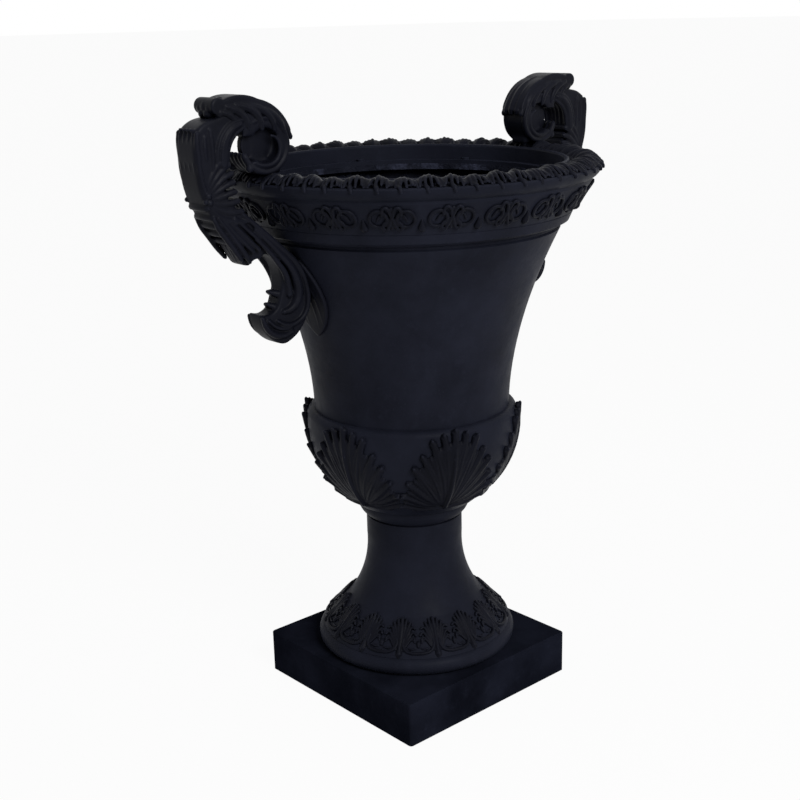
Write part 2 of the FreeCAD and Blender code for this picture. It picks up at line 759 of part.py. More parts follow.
os.makedirs("parts", exist_ok=True)
for name, shape in parts.items():
    if not shape.isValid():
        raise ValueError(name + " isn't a valid shape")
    shape.exportStep("parts/%s.step" % name)
    box = shape.BoundBox
    print("%-22s %3d solids  %10.0f mm3  x %.1f..%.1f  y %.1f..%.1f  z %.1f..%.1f" % (
        name, len(shape.Solids), shape.Volume, box.XMin, box.XMax, box.YMin, box.YMax,
        box.ZMin, box.ZMax))
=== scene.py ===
"""Cast garden urn: carved ornament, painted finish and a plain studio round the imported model.

Lengths in the tables below are millimetres and angles are degrees round the urn's axis,
counted from the right-hand handle. Everything is turned into metres as it is built.
"""

import math

import bpy
from mathutils import Matrix, Vector


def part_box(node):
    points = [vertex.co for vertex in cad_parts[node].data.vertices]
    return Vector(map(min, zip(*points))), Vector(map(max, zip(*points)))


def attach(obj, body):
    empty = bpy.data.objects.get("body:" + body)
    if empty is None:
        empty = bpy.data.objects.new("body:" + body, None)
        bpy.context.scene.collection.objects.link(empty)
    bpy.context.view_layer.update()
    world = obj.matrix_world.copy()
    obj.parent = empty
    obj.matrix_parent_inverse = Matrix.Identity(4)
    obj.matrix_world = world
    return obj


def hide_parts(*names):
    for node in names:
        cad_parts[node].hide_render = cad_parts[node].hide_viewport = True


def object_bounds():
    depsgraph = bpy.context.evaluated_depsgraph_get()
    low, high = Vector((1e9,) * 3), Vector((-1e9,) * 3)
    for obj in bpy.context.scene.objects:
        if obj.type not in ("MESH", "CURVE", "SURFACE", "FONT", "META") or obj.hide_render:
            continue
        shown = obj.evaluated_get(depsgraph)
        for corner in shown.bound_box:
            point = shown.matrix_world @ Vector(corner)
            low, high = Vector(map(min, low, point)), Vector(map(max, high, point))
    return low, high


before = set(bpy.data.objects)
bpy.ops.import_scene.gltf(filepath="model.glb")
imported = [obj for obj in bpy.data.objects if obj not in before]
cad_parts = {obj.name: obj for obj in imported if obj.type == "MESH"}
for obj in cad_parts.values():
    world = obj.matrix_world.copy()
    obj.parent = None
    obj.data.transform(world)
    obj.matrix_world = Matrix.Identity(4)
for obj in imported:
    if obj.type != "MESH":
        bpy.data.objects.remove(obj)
CAD_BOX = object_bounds()

bl_info = {
    "name": "Garden Urn Planter",
    "version": (1, 0, 0),
    "blender": (4, 5, 0),
    "location": "View3D > Sidebar > Urn",
    "description": "Carves the ornament of a cast garden urn, paints it and sets it in a plain studio",
    "category": "Add Mesh",
}

MM = 0.001
WELD = 0.00001                  # points nearer than this are one point, in metres

# ---- surfaces that carry ornament -------------------------------------------------------

BAND_FOOT = (129.0, 88.0)       # radius and height where the foot's sloping band starts
BAND_HEAD = (92.0, 126.0)
FRIEZE_FOOT = (213.0, 664.0)
FRIEZE_HEAD = (237.0, 702.0)
BALL_CENTRE = 385.0
BALL_RADIUS = 142.0
RIM_TOP = 722.0
RIM_EDGE = 247.6                # beyond this radius the border may droop over the rim
BOWL_WALL = 8.0
BOWL_FOOT = 271.0
BOWL_EDGE = 404.0
SHOULDER = 9.6                  # radius of the rounded shoulder on the bowl's edge
HUB_HOLE = 9.0                  # radius of the hole for the tie rod
FLANGE_MOUTH = 108.0            # radius of the opening in the bowl's flange
DRAIN_PLACE = (32.0, 276.0)     # radius and height of the three drain holes' middles
DRAIN_RADIUS = 6.0


def polar(angle, radius, height):
    """A point given by its angle, its distance from the axis and its height."""
    turn = math.radians(angle)
    return Vector((radius * math.cos(turn), radius * math.sin(turn), height))


def on_cone(foot, head, angle, height, lift):
    """A point that stands lift proud of the cone between two circles."""
    run, rise = head[0] - foot[0], head[1] - foot[1]
    length = math.hypot(run, rise)
    radius = foot[0] + (height - foot[1]) * run / rise
    return polar(angle, radius + lift * rise / length, height - lift * run / length)


def on_band(angle, height, lift):
    return on_cone(BAND_FOOT, BAND_HEAD, angle, height, lift)


def on_frieze(sideways, height, lift):
    slope = (FRIEZE_HEAD[0] - FRIEZE_FOOT[0]) / (FRIEZE_HEAD[1] - FRIEZE_FOOT[1])
    radius = FRIEZE_FOOT[0] + (height - FRIEZE_FOOT[1]) * slope
    return on_cone(FRIEZE_FOOT, FRIEZE_HEAD, math.degrees(sideways / radius), height, lift)


def on_ball(angle, height, lift):
    rise = max(-1.0, min(1.0, (height - BALL_CENTRE) / BALL_RADIUS))
    reach = BALL_RADIUS + lift
    return polar(angle, reach * math.sqrt(1.0 - rise * rise), BALL_CENTRE + reach * rise)


def cone_depth(foot, head, point):
    """How far a point, in millimetres, stands outside the cone, and the way out."""
    run, rise = head[0] - foot[0], head[1] - foot[1]
    length = math.hypot(run, rise)
    spread = math.hypot(point.x, point.y)
    depth = ((spread - foot[0]) * rise - (point.z - foot[1]) * run) / length
    return depth, Vector((point.x / spread * rise, point.y / spread * rise, -run)) / length


def ball_depth(point):
    arm = point - Vector((0.0, 0.0, BALL_CENTRE))
    return arm.length - BALL_RADIUS, arm.normalized()


# ---- modelling helpers ------------------------------------------------------------------

def pick(*objects):
    """Selects these objects alone, the first one active."""
    bpy.ops.object.select_all(action="DESELECT")
    for thing in objects:
        thing.select_set(True)
    bpy.context.view_layer.objects.active = objects[0]


def rolls(lines, ring=2):
    """Round rolls along lines of (point, roll radius), each closed at its two ends."""
    bpy.ops.object.select_all(action="DESELECT")
    bpy.ops.curve.primitive_bezier_curve_add(location=(0.0, 0.0, 0.0))
    thing = bpy.context.object
    curve = thing.data
    curve.dimensions = "3D"
    curve.resolution_u = 5
    curve.bevel_depth = MM
    curve.bevel_resolution = ring
    curve.use_fill_caps = True
    curve.splines.clear()
    for line in lines:
        spline = curve.splines.new("BEZIER")
        first, last = line[0], line[-1]
        head = (first[0] - line[1][0]).normalized() * first[1]
        tail = (last[0] - line[-2][0]).normalized() * last[1]
        knots = [(first[0] + head * 0.85, first[1] * 0.35)] + list(line)
        knots.append((last[0] + tail * 0.85, last[1] * 0.35))
        spline.bezier_points.add(len(knots) - 1)
        for knot, (point, radius) in zip(spline.bezier_points, knots):
            knot.co = point * MM
            knot.radius = radius
            knot.handle_left_type = knot.handle_right_type = "AUTO"
    pick(thing)
    bpy.ops.object.convert(target="MESH")
    return bpy.context.object


def ball(point, radius):
    bpy.ops.object.select_all(action="DESELECT")
    bpy.ops.mesh.primitive_uv_sphere_add(segments=20, ring_count=12, radius=radius * MM,
                                         location=point * MM)
    bpy.ops.object.transform_apply(location=True, rotation=True, scale=True)
    return bpy.context.object


def disc(point, radius, depth, upright=False):
    """A round block whose axis stands upright or lies across the handle."""
    bpy.ops.object.select_all(action="DESELECT")
    lean = 0.0 if upright else math.pi / 2
    bpy.ops.mesh.primitive_cylinder_add(vertices=48, radius=radius * MM, depth=depth * MM,
                                        location=point * MM, rotation=(lean, 0.0, 0.0))
    bpy.ops.object.transform_apply(location=True, rotation=True, scale=True)
    return bpy.context.object


def weld(thing, outward=False):
    """Merges doubled points and, where asked, turns the faces outward."""
    pick(thing)
    bpy.ops.object.mode_set(mode="EDIT")
    bpy.ops.mesh.select_all(action="SELECT")
    bpy.ops.mesh.remove_doubles(threshold=WELD)
    if outward:
        bpy.ops.mesh.normals_make_consistent(inside=False)
    bpy.ops.object.mode_set(mode="OBJECT")


def node_copy(node):
    """A copy of a CAD node with its loose triangles merged into one skin."""
    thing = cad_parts[node].copy()
    thing.data = thing.data.copy()
    thing.parent = None
    for key in list(thing.keys()):
        del thing[key]
    thing.data.materials.clear()
    bpy.context.collection.objects.link(thing)
    thing.hide_render = thing.hide_viewport = False
    weld(thing)
    return thing


def modify(thing, kind, **values):
    """Adds a modifier, sets it and applies it."""
    pick(thing)
    step = thing.modifiers.new(kind.title(), kind)
    for key, value in values.items():
        setattr(step, key, value)
    bpy.ops.object.modifier_apply(modifier=step.name)


def cut(thing, block):
    """Takes a block out of a casting and deletes the block."""
    modify(thing, "BOOLEAN", operation="DIFFERENCE", solver="EXACT", object=block)
    bpy.data.objects.remove(block, do_unlink=True)


def fuse(name, parts, grain, soften, keep=1.0):
    """Grows closed parts that overlap into one skin, softened like a casting."""
    pick(*parts)
    if len(parts) > 1:
        bpy.ops.object.join()
    thing = bpy.context.object
    modify(thing, "REMESH", mode="VOXEL", voxel_size=grain * MM, use_smooth_shade=True)
    if soften:
        modify(thing, "SMOOTH", factor=0.5, iterations=soften)
    if keep < 1.0:
        modify(thing, "DECIMATE", ratio=keep)
    thing.name = thing.data.name = name
    pick(thing)
    bpy.ops.object.shade_smooth()
    return thing


def bed_down(thing, depth_of, sink=0.3):
    """Lays the underside of a casting on the surface that carries it."""
    for vertex in thing.data.vertices:
        depth, out = depth_of(vertex.co / MM)
        if depth < -sink:
            vertex.co += out * (-sink - depth) * MM
    thing.data.update()


def bowl_section():
    """Closed outline of the bowl's wall as (radius, height), with a rounded shoulder."""
    outline = [(HUB_HOLE, BOWL_FOOT)]
    start = math.asin((BOWL_FOOT - BALL_CENTRE) / BALL_RADIUS)
    end = math.asin((BOWL_EDGE - SHOULDER - BALL_CENTRE) / BALL_RADIUS)
    for n in range(49):
        turn = start + (end - start) * n / 48.0
        outline.append((BALL_RADIUS * math.cos(turn), BALL_CENTRE + BALL_RADIUS * math.sin(turn)))
    edge = outline[-1][0]
    for n in range(1, 9):
        turn = math.radians(90.0 * n / 8.0)
        outline.append((edge - SHOULDER * (1.0 - math.cos(turn)),
                        BOWL_EDGE - SHOULDER + SHOULDER * math.sin(turn)))
    flange = BOWL_EDGE - BOWL_WALL
    outline += [(FLANGE_MOUTH, BOWL_EDGE), (FLANGE_MOUTH, flange)]
    inside = BALL_RADIUS - BOWL_WALL
    start = math.asin((flange - BALL_CENTRE) / inside)
    end = math.asin((BOWL_FOOT + 10.0 - BALL_CENTRE) / inside)
    for n in range(33):
        turn = start + (end - start) * n / 32.0
        outline.append((inside * math.cos(turn), BALL_CENTRE + inside * math.sin(turn)))
    outline.append((HUB_HOLE, BOWL_FOOT + 10.0))
    return outline


def lathe(name, outline):
    """Turns a closed outline once round the urn's axis."""
    bpy.ops.object.select_all(action="DESELECT")
    bpy.ops.curve.primitive_bezier_curve_add(location=(0.0, 0.0, 0.0))
    curve = bpy.context.object.data
    curve.dimensions = "3D"
    curve.splines.clear()
    spline = curve.splines.new("POLY")
    spline.points.add(len(outline) - 1)
    for knot, (radius, height) in zip(spline.points, outline):
        knot.co = (radius * MM, 0.0, height * MM, 1.0)
    spline.use_cyclic_u = True
    bpy.ops.object.convert(target="MESH")
    thing = bpy.context.object
    modify(thing, "SCREW", angle=math.tau, steps=192, render_steps=192, use_merge_vertices=True,
           use_normal_calculate=True)
    weld(thing, outward=True)
    thing.name = thing.data.name = name
    return thing


def keep_within(thing, low, high):
    """Holds a casting inside a box given in metres."""
    for vertex in thing.data.vertices:
        for axis in range(3):
            vertex.co[axis] = max(low[axis], min(high[axis], vertex.co[axis]))
    thing.data.update()


def turn_to(thing, angle):
    """Turns a mesh round the urn's axis."""
    thing.data.transform(Matrix.Rotation(math.radians(angle), 4, "Z"))


def turned(thing, name, angle):
    """A copy of a finished piece, with its own mesh, turned round the urn's axis."""
    twin = thing.copy()
    twin.data = thing.data.copy()
    turn_to(twin, angle)
    twin.name = twin.data.name = name
    bpy.context.collection.objects.link(twin)
    return twin


def settle(thing, slot, finish, *nodes):
    """Paints a piece, fixes it to the urn and lets it stand for its CAD nodes."""
    thing.data.materials.clear()
    thing.data.materials.append(finish)
    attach(thing, "root")
    if nodes:
        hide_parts(*nodes)


def all_round(first, label, count, node, trim=None):
    """Settles a finished piece and its copies, evenly spaced round the urn's axis."""
    for n in range(count):
        each = first if n == 0 else turned(first, label.format(n + 1), 360.0 / count * n)
        if trim:
            trim(each)
        settle(each, "ornament_paint", paints()["ornament black"], node.format(n + 1))


def on_both_handles(right, finish, node):
    """Settles a finished piece on the right-hand handle and a copy, half a turn round, on the other."""
    settle(right, "ornament_paint", paints()[finish], "right_" + node)
    left = turned(right, right.name.replace("right", "left"), 180.0)
    settle(left, "ornament_paint", paints()[finish], "left_" + node)


# ---- finishes ---------------------------------------------------------------------------

def finish_nodes(material):
    tree = material.node_tree
    return tree, tree.nodes["Principled BSDF"]


def noise(tree, where, scale, detail, roughness=0.55):
    node = tree.nodes.new("ShaderNodeTexNoise")
    node.inputs["Scale"].default_value = scale
    node.inputs["Detail"].default_value = detail
    node.inputs["Roughness"].default_value = roughness
    tree.links.new(where, node.inputs["Vector"])
    return node.outputs["Fac"]


def spread(tree, value, low, high, start=0.0, end=1.0):
    node = tree.nodes.new("ShaderNodeMapRange")
    node.inputs["From Min"].default_value = low
    node.inputs["From Max"].default_value = high
    node.inputs["To Min"].default_value = start
    node.inputs["To Max"].default_value = end
    tree.links.new(value, node.inputs["Value"])
    return node.outputs["Result"]


def blend(tree, amount, first, second):
    """Mixes two colours, each a fixed colour or a socket, by a socket."""
    node = tree.nodes.new("ShaderNodeMix")
    node.data_type = "RGBA"
    tree.links.new(amount, node.inputs["Factor"])
    for name, colour in (("A", first), ("B", second)):
        socket = next(s for s in node.inputs if s.name == name and s.type == "RGBA")
        if isinstance(colour, bpy.types.NodeSocket):
            tree.links.new(colour, socket)
        else:
            socket.default_value = (*colour, 1.0)
    return next(s for s in node.outputs if s.type == "RGBA")


def dent(tree, height, strength, depth, before=None):
    node = tree.nodes.new("ShaderNodeBump")
    node.inputs["Strength"].default_value = strength
    node.inputs["Distance"].default_value = depth * MM
    tree.links.new(height, node.inputs["Height"])
    if before is not None:
        tree.links.new(before, node.inputs["Normal"])
    return node.outputs["Normal"]


def shade_mask(tree, reach):
    """Ambient occlusion, the mask for painted shade: 1 in the open and 0 deep in a hollow."""
    node = tree.nodes.new("ShaderNodeAmbientOcclusion")
    node.samples = 6
    node.inputs["Distance"].default_value = reach * MM
    return node.outputs["AO"]


def faces_axis(tree, where):
    """1 on surfaces that face the urn's axis, as the inside of the bell does, and 0 elsewhere."""
    place = tree.nodes.new("ShaderNodeVectorMath")
    place.operation = "MULTIPLY"
    place.inputs[1].default_value = (1.0, 1.0, 0.0)
    tree.links.new(where.outputs["Object"], place.inputs[0])
    unit = tree.nodes.new("ShaderNodeVectorMath")
    unit.operation = "NORMALIZE"
    tree.links.new(place.outputs["Vector"], unit.inputs[0])
    lean = tree.nodes.new("ShaderNodeVectorMath")
    lean.operation = "DOT_PRODUCT"
    tree.links.new(where.outputs["Normal"], lean.inputs[0])
    tree.links.new(unit.outputs["Vector"], lean.inputs[1])
    return spread(tree, lean.outputs["Value"], -0.2, -0.4)


def compute(tree, operation, first, second):
    """One number from a socket and another socket or fixed value."""
    node = tree.nodes.new("ShaderNodeMath")
    node.operation = operation
    tree.links.new(first, node.inputs[0])
    if isinstance(second, bpy.types.NodeSocket):
        tree.links.new(second, node.inputs[1])
    else:
        node.inputs[1].default_value = second
    return node.outputs["Value"]


def black_paint(name, colour, sheen, gloss=0.03, grain=1.0, patches=0.25, wear_highlight_and_shade=0.0, rough_inside=0.0):
    """Near-black paint on cast iron: mottled, finely grained, lighter on its edges as rubbed wear and a
    painted highlight, with painted shade in its creases and hollows.
    """
    material = bpy.data.materials.new(name)
    material.use_nodes = True
    tree, surface = finish_nodes(material)
    coordinates = tree.nodes.new("ShaderNodeTexCoord")
    where = coordinates.outputs["Object"]
    cloudy = noise(tree, where, 11.0, 5.0)
    speck = noise(tree, where, 520.0, 3.0)
    streak = noise(tree, where, 46.0, 6.0, 0.7)
    dark = [c * (1.0 - patches) for c in colour]
    light = [c * (1.0 + patches) for c in colour]
    tone = blend(tree, spread(tree, cloudy, 0.36, 0.64), dark, light)
    dusty = [c * (1.0 + 2.4 * patches) for c in colour]
    tone = blend(tree, spread(tree, streak, 0.56, 0.78, 0.0, 0.55), tone, dusty)
    tone = blend(tree, spread(tree, speck, 0.60, 0.80, 0.0, 0.5), tone, [c * 1.8 for c in colour])
    if wear_highlight_and_shade:
        # Convex edges lighter: partly rubbed wear, partly a painted highlight.
        edge = tree.nodes.new("ShaderNodeNewGeometry").outputs["Pointiness"]
        tone = blend(tree, spread(tree, edge, 0.515, 0.60, 0.0, wear_highlight_and_shade), tone, [c * 3.4 for c in colour])
        # Creases darker: painted shade.
        tone = blend(tree, spread(tree, edge, 0.49, 0.43, 0.0, 0.8), tone, [c * 0.35 for c in colour])
        # Deep hollows darker by ambient occlusion: painted shade.
        painted_hollow_shade = spread(tree, shade_mask(tree, 22.0), 0.75, 0.20, 0.0, 0.85)
        tone = blend(tree, painted_hollow_shade, tone, [c * 0.25 for c in colour])
    tree.links.new(tone, surface.inputs["Base Color"])
    matt = spread(tree, streak, 0.3, 0.75, sheen - 0.05, sheen + 0.12)
    tree.links.new(matt, surface.inputs["Roughness"])
    surface.inputs["Specular IOR Level"].default_value = gloss
    skin = dent(tree, noise(tree, where, 900.0, 2.0), 0.35 * grain, 0.22)
    skin = dent(tree, noise(tree, where, 140.0, 3.0), 0.30 * grain, 0.55, skin)
    if rough_inside:
        inside = faces_axis(tree, coordinates)
        lumps = compute(tree, "MULTIPLY", noise(tree, where, 34.0, 7.0, 0.62), inside)
        skin = dent(tree, lumps, rough_inside, 9.0, skin)
        swirl = spread(tree, noise(tree, where, 20.0, 8.0, 0.7), 0.50, 0.66)
        swirl = compute(tree, "MULTIPLY", swirl, inside)
        tree.links.new(blend(tree, swirl, tone, [c * 4.5 for c in colour]), surface.inputs["Base Color"])
    tree.links.new(skin, surface.inputs["Normal"])
    return material


def paints():
    """The finishes of the urn, made once and then looked up by name."""
    if "body black" not in bpy.data.materials:
        look = bpy.context.scene.urn_finish
        sheen = look.sheen
        body = list(look.body_colour)
        # Ornament colour: the body's paint set darker as painted shade over the relief.
        ornament_shaded = list(look.ornament_shaded_colour)
        base = list(look.plinth_colour)
        black_paint("body black", body, sheen, rough_inside=1.0)
        black_paint("turned black", body, sheen, grain=0.8, patches=0.2)
        black_paint("ornament black", ornament_shaded, sheen - 0.04, gloss=0.04, grain=0.7, wear_highlight_and_shade=0.7)
        black_paint("handle black", ornament_shaded, sheen - 0.08, gloss=0.05, grain=0.6, wear_highlight_and_shade=0.6)
        black_paint("plinth black", base, sheen + 0.1, gloss=0.0, grain=1.3, patches=0.4)
        black_paint("blackened fixings", [c * 1.2 for c in body], sheen, grain=0.5)
    return bpy.data.materials


def paint_node(node, name):
    """Gives a CAD node its finish and leaves its mesh alone."""
    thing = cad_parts[node]
    thing.data.materials.clear()
    thing.data.materials.append(paints()[name])


# ---- ornament drawn as lines of rolls ---------------------------------------------------

PALMETTES = 15
PALMETTE_START = 0.8            # degrees from the right-hand handle to the first one's middle
LOOP_START = PALMETTE_START + 180.0 / PALMETTES
LEAVES = 6
LEAF_START = 10.0
BORDER_UNITS = 18

# foot palmette: (degrees from its middle, height, roll radius)
PALMETTE_RIBS = (
    ((0.0, 88.6, 2.6), (0.0, 94.0, 2.2), (0.0, 104.0, 1.9), (0.0, 115.0, 2.1), (0.0, 125.0, 1.7)),
    ((1.2, 96.0, 1.1), (1.5, 104.0, 1.4), (2.3, 114.0, 1.7), (3.3, 123.6, 1.5)),
    ((2.0, 96.0, 1.1), (2.6, 104.0, 1.3), (4.3, 113.0, 1.6), (6.4, 120.6, 1.5)),
    ((2.2, 95.0, 1.1), (3.2, 102.0, 1.3), (5.2, 109.5, 1.5), (7.9, 115.6, 1.5), (10.0, 114.2, 1.4)),
    ((2.4, 94.0, 1.0), (3.9, 100.0, 1.3), (6.2, 106.5, 1.5), (8.8, 110.2, 1.5), (10.6, 107.3, 1.4)),
    ((2.4, 93.0, 1.0), (4.4, 98.0, 1.2), (6.6, 103.0, 1.4), (8.6, 105.3, 1.4), (9.8, 102.6, 1.3)),
)

# ribbon loop between two palmettes
LOOP_RIBBON = ((-9.8, 104.0, 1.7), (-9.9, 98.0, 1.9), (-7.8, 92.6, 1.9), (-4.2, 90.4, 1.9), (0.0, 90.0, 1.9),
               (4.2, 90.4, 1.9), (7.8, 92.6, 1.9), (9.9, 98.0, 1.9), (9.8, 104.0, 1.7))
LOOP_CURLS = (
    ((-7.4, 100.5, 1.3), (-5.4, 103.6, 1.5), (-2.8, 102.6, 1.4), (-2.2, 100.4, 1.2)),
    ((-6.2, 95.2, 1.2), (-3.6, 94.2, 1.3), (-1.8, 95.0, 1.1)),
)

# acanthus finger: tip angle, tip height, foot height, bend, half-width of its outer ribs, tip curl
LEAF_FINGERS = (
    (0.0, 404.5, 290.0, 1.00, 2.1, 6.5),
    (6.2, 399.5, 290.5, 1.25, 2.0, 5.5),
    (12.4, 393.5, 291.5, 1.35, 2.3, 6.5),
    (17.4, 374.0, 292.5, 1.00, 1.7, 4.5),
    (21.8, 358.0, 293.5, 0.85, 2.2, 6.0),
    (25.2, 335.0, 294.5, 0.66, 1.8, 4.5),
    (28.6, 315.0, 292.0, 0.50, 2.0, 5.5),
    (29.6, 296.0, 286.0, 0.42, 1.5, 3.5),
)

# frieze strap, one side, (sideways, height, roll radius)
STRAP = ((-10.6, 691.0, 2.0), (-10.4, 697.0, 2.2), (-7.4, 700.4, 2.3), (-3.4, 698.0, 2.3), (-1.2, 691.6, 2.2),
         (1.4, 684.6, 2.2), (4.4, 677.0, 2.2), (7.4, 672.6, 2.3), (10.4, 674.4, 2.2), (10.4, 679.4, 2.0),
         (7.4, 683.0, 1.8))
SIDE_RING = (15.8, 686.0, 10.2, 9.8)     # centre sideways, centre height, half-width, half-height
MOTIFS = 21
MOTIF_START = 0.6

# rim border finger: tip angle, root radius, tip radius, height of its back, tip height
BORDER_FINGERS = (
    (0.0, 213.0, 248.5, 733.0, 722.0),
    (1.7, 214.0, 246.5, 731.6, 724.5),
    (3.2, 216.0, 247.5, 730.0, 721.5),
    (4.5, 219.0, 243.0, 727.4, 723.5),
)
# the same crests, uneven as in the casting: angle of the middle, size, turn
BORDER_CRESTS = ((-6.3, 1.0, 0.7), (0.5, 0.84, -0.9), (6.7, 0.70, 1.1))
# rolls under the border, which bed it on the rim: radius, height, roll radius
BORDER_BED = ((213.0, 720.4, 3.8), (221.0, 720.4, 4.8), (230.0, 720.4, 4.8), (238.5, 720.2, 4.4))
# tips that droop over the rim's edge: angle, start radius, roll radius
BORDER_DROOPS = ((-7.4, 241.0, 3.4), (-0.4, 241.5, 3.6), (5.6, 242.0, 3.2))


def palmette(height):
    """One fan palmette in the middle of the band, at angle 0."""
    lines = []
    for rib, knots in enumerate(PALMETTE_RIBS):
        for side in ((1.0,) if rib == 0 else (1.0, -1.0)):
            crown = [(on_band(side * a, z, height * (0.24 + 0.08 * n)), r * 1.2)
                     for n, (a, z, r) in enumerate(knots)]
            bed = [(on_band(side * a, z, -1.9), r * 2.1) for a, z, r in knots]
            lines += [crown, bed]
    return lines


def loop(height):
    lines = [[(on_band(a, z, height * 0.35), r * 1.25) for a, z, r in LOOP_RIBBON]]
    for curl in LOOP_CURLS:
        for side in (1.0, -1.0):
            lines.append([(on_band(side * a, z, height * 0.3), r * 1.15) for a, z, r in curl])
    lines.append([(on_band(0.0, 96.6, 0.6), 2.4), (on_band(0.0, 99.4, 1.0), 2.9),
                  (on_band(0.0, 102.0, 0.4), 2.0)])
    return lines


def finger_path(finger, height, share, aside):
    """Angle, height and lift part of the way along a finger, aside from its middle."""
    tip, top, foot, bend, half, curl = finger
    root = 0.16 * tip
    angle = root + (tip - root) * share ** bend + aside * half * math.sin(math.pi * share ** 0.85) ** 0.8
    return angle, foot + (top - foot) * share, height * (0.12 + 0.30 * share) + (curl - 3.0) * share ** 6


def between(first, second, share):
    return tuple(a + (b - a) * share for a, b in zip(first, second))


def leaf(height):
    """One acanthus leaf on the ball of the bowl, at angle 0: fluted fingers on a blade that joins them."""
    lines = []
    steps = 8

    def along(finger, side, aside, reach, roll, sink):
        points = []
        for n in range(steps):
            share = reach * n / (steps - 1)
            angle, level, lift = finger_path(finger, height, share, aside)
            points.append((on_ball(side * angle, level, lift - sink(share)), roll(share)))
        return points

    for number, finger in enumerate(LEAF_FINGERS):
        for side in ((1.0,) if number == 0 else (1.0, -1.0)):
            for aside in (1.0, 0.0, -1.0):
                reach = 1.0 if aside == 0.0 else 0.95
                lines.append(along(finger, side, aside, reach,
                                   lambda t: 1.2 + 1.3 * t, lambda t: 0.0 if aside == 0.0 else 0.6))
            lines.append(along(finger, side, 0.0, 0.97,
                               lambda t: 3.4 + 2.0 * t, lambda t: 2.6 + 0.9 * t))
    for first, second in zip(LEAF_FINGERS, LEAF_FINGERS[1:]):
        web = between(first, second, 0.5)
        for side in (1.0, -1.0):
            lines.append(along(web, side, 0.0, 0.84, lambda t: 4.6, lambda t: 3.7))
    lines.append([(on_ball(0.0, 290.0 + 100.0 * n / 6.0, 2.7), 2.9) for n in range(7)])
    lines.append([(on_ball(a, 287.0, 0.4), 3.2) for a in (-22.0, -11.0, 0.0, 11.0, 22.0)])
    return lines


def frieze_motif(height):
    lines = []
    centre, level, wide, tall = SIDE_RING
    for side in (1.0, -1.0):
        lines.append([(on_frieze(side * s, z, height * 0.5), r) for s, z, r in STRAP])
        ring = []
        for n in range(12):
            turn = math.radians(30.0 * n + 15.0)
            ring.append((on_frieze(side * (centre + wide * math.cos(turn)), level + tall * math.sin(turn),
                                   height * 0.3), 2.4))
        ring.append(ring[0])
        lines.append(ring)
        lines.append([(on_frieze(side * (centre + 1.5), level - 3.0, 0.3), 1.8),
                      (on_frieze(side * (centre - 1.0), level + 2.0, 0.5), 2.0),
                      (on_frieze(side * (centre - 3.5), level + 5.0, 0.3), 1.5)])
    lines.append([(on_frieze(0.0, 673.5, 0.6), 2.2), (on_frieze(0.0, 678.0, 1.0), 2.0),
                  (on_frieze(0.0, 682.0, 0.4), 1.4)])
    lines.append([(on_frieze(0.0, 694.0, 0.4), 1.4), (on_frieze(0.0, 698.5, 0.8), 2.2)])
    return lines


def pear_bead():
    return [[(on_frieze(0.0, 671.6, 0.4), 4.2), (on_frieze(0.0, 674.6, 0.8), 4.8),
             (on_frieze(0.0, 679.0, 0.5), 3.2), (on_frieze(0.0, 683.6, 0.0), 1.5)]]


def border_unit():
    """An eighteenth of a turn and a bit more of the leaf border lying on the rim."""
    lines = []
    for radius, level, roll in BORDER_BED:
        lines.append([(polar(a, radius, level), roll) for a in (-10.4, -5.0, 0.0, 5.0, 10.4)])
    for middle, size, lean in BORDER_CRESTS:
        for tip, root, reach, back, end in BORDER_FINGERS:
            for side in ((1.0,) if tip == 0.0 else (1.0, -1.0)):
                a = side * tip * (0.7 + 0.3 * size)
                high = 722.0 + (back - 722.0) * (0.4 + 0.6 * size) - 0.5 * side * lean
                span = reach - root
                lines.append([(polar(middle + a * 0.25, root, 723.6), 1.6),
                              (polar(middle + a * 0.50 + lean * 0.2, root + 0.26 * span, high - 1.6), 2.3),
                              (polar(middle + a * 0.80 + lean * 0.6, root + 0.62 * span, high), 2.5),
                              (polar(middle + a + lean, reach - 1.5, end + 1.5 * size), 1.8)])
    for a in (-9.5, -2.8, 3.7, 9.4):
        lines.append([(polar(a, 217.0, 723.0), 1.6), (polar(a + 0.9, 228.0, 727.0), 2.3),
                      (polar(a - 0.6, 244.0, 724.5), 1.9)])
    for a, start, roll in BORDER_DROOPS:
        lines.append([(polar(a, start, 723.5), roll), (polar(a + 0.5, start + 7.0, 721.6), roll * 0.9),
                      (polar(a + 0.8, start + 8.6, 718.2), roll * 0.7)])
    return lines


# ---- handles ----------------------------------------------------------------------------

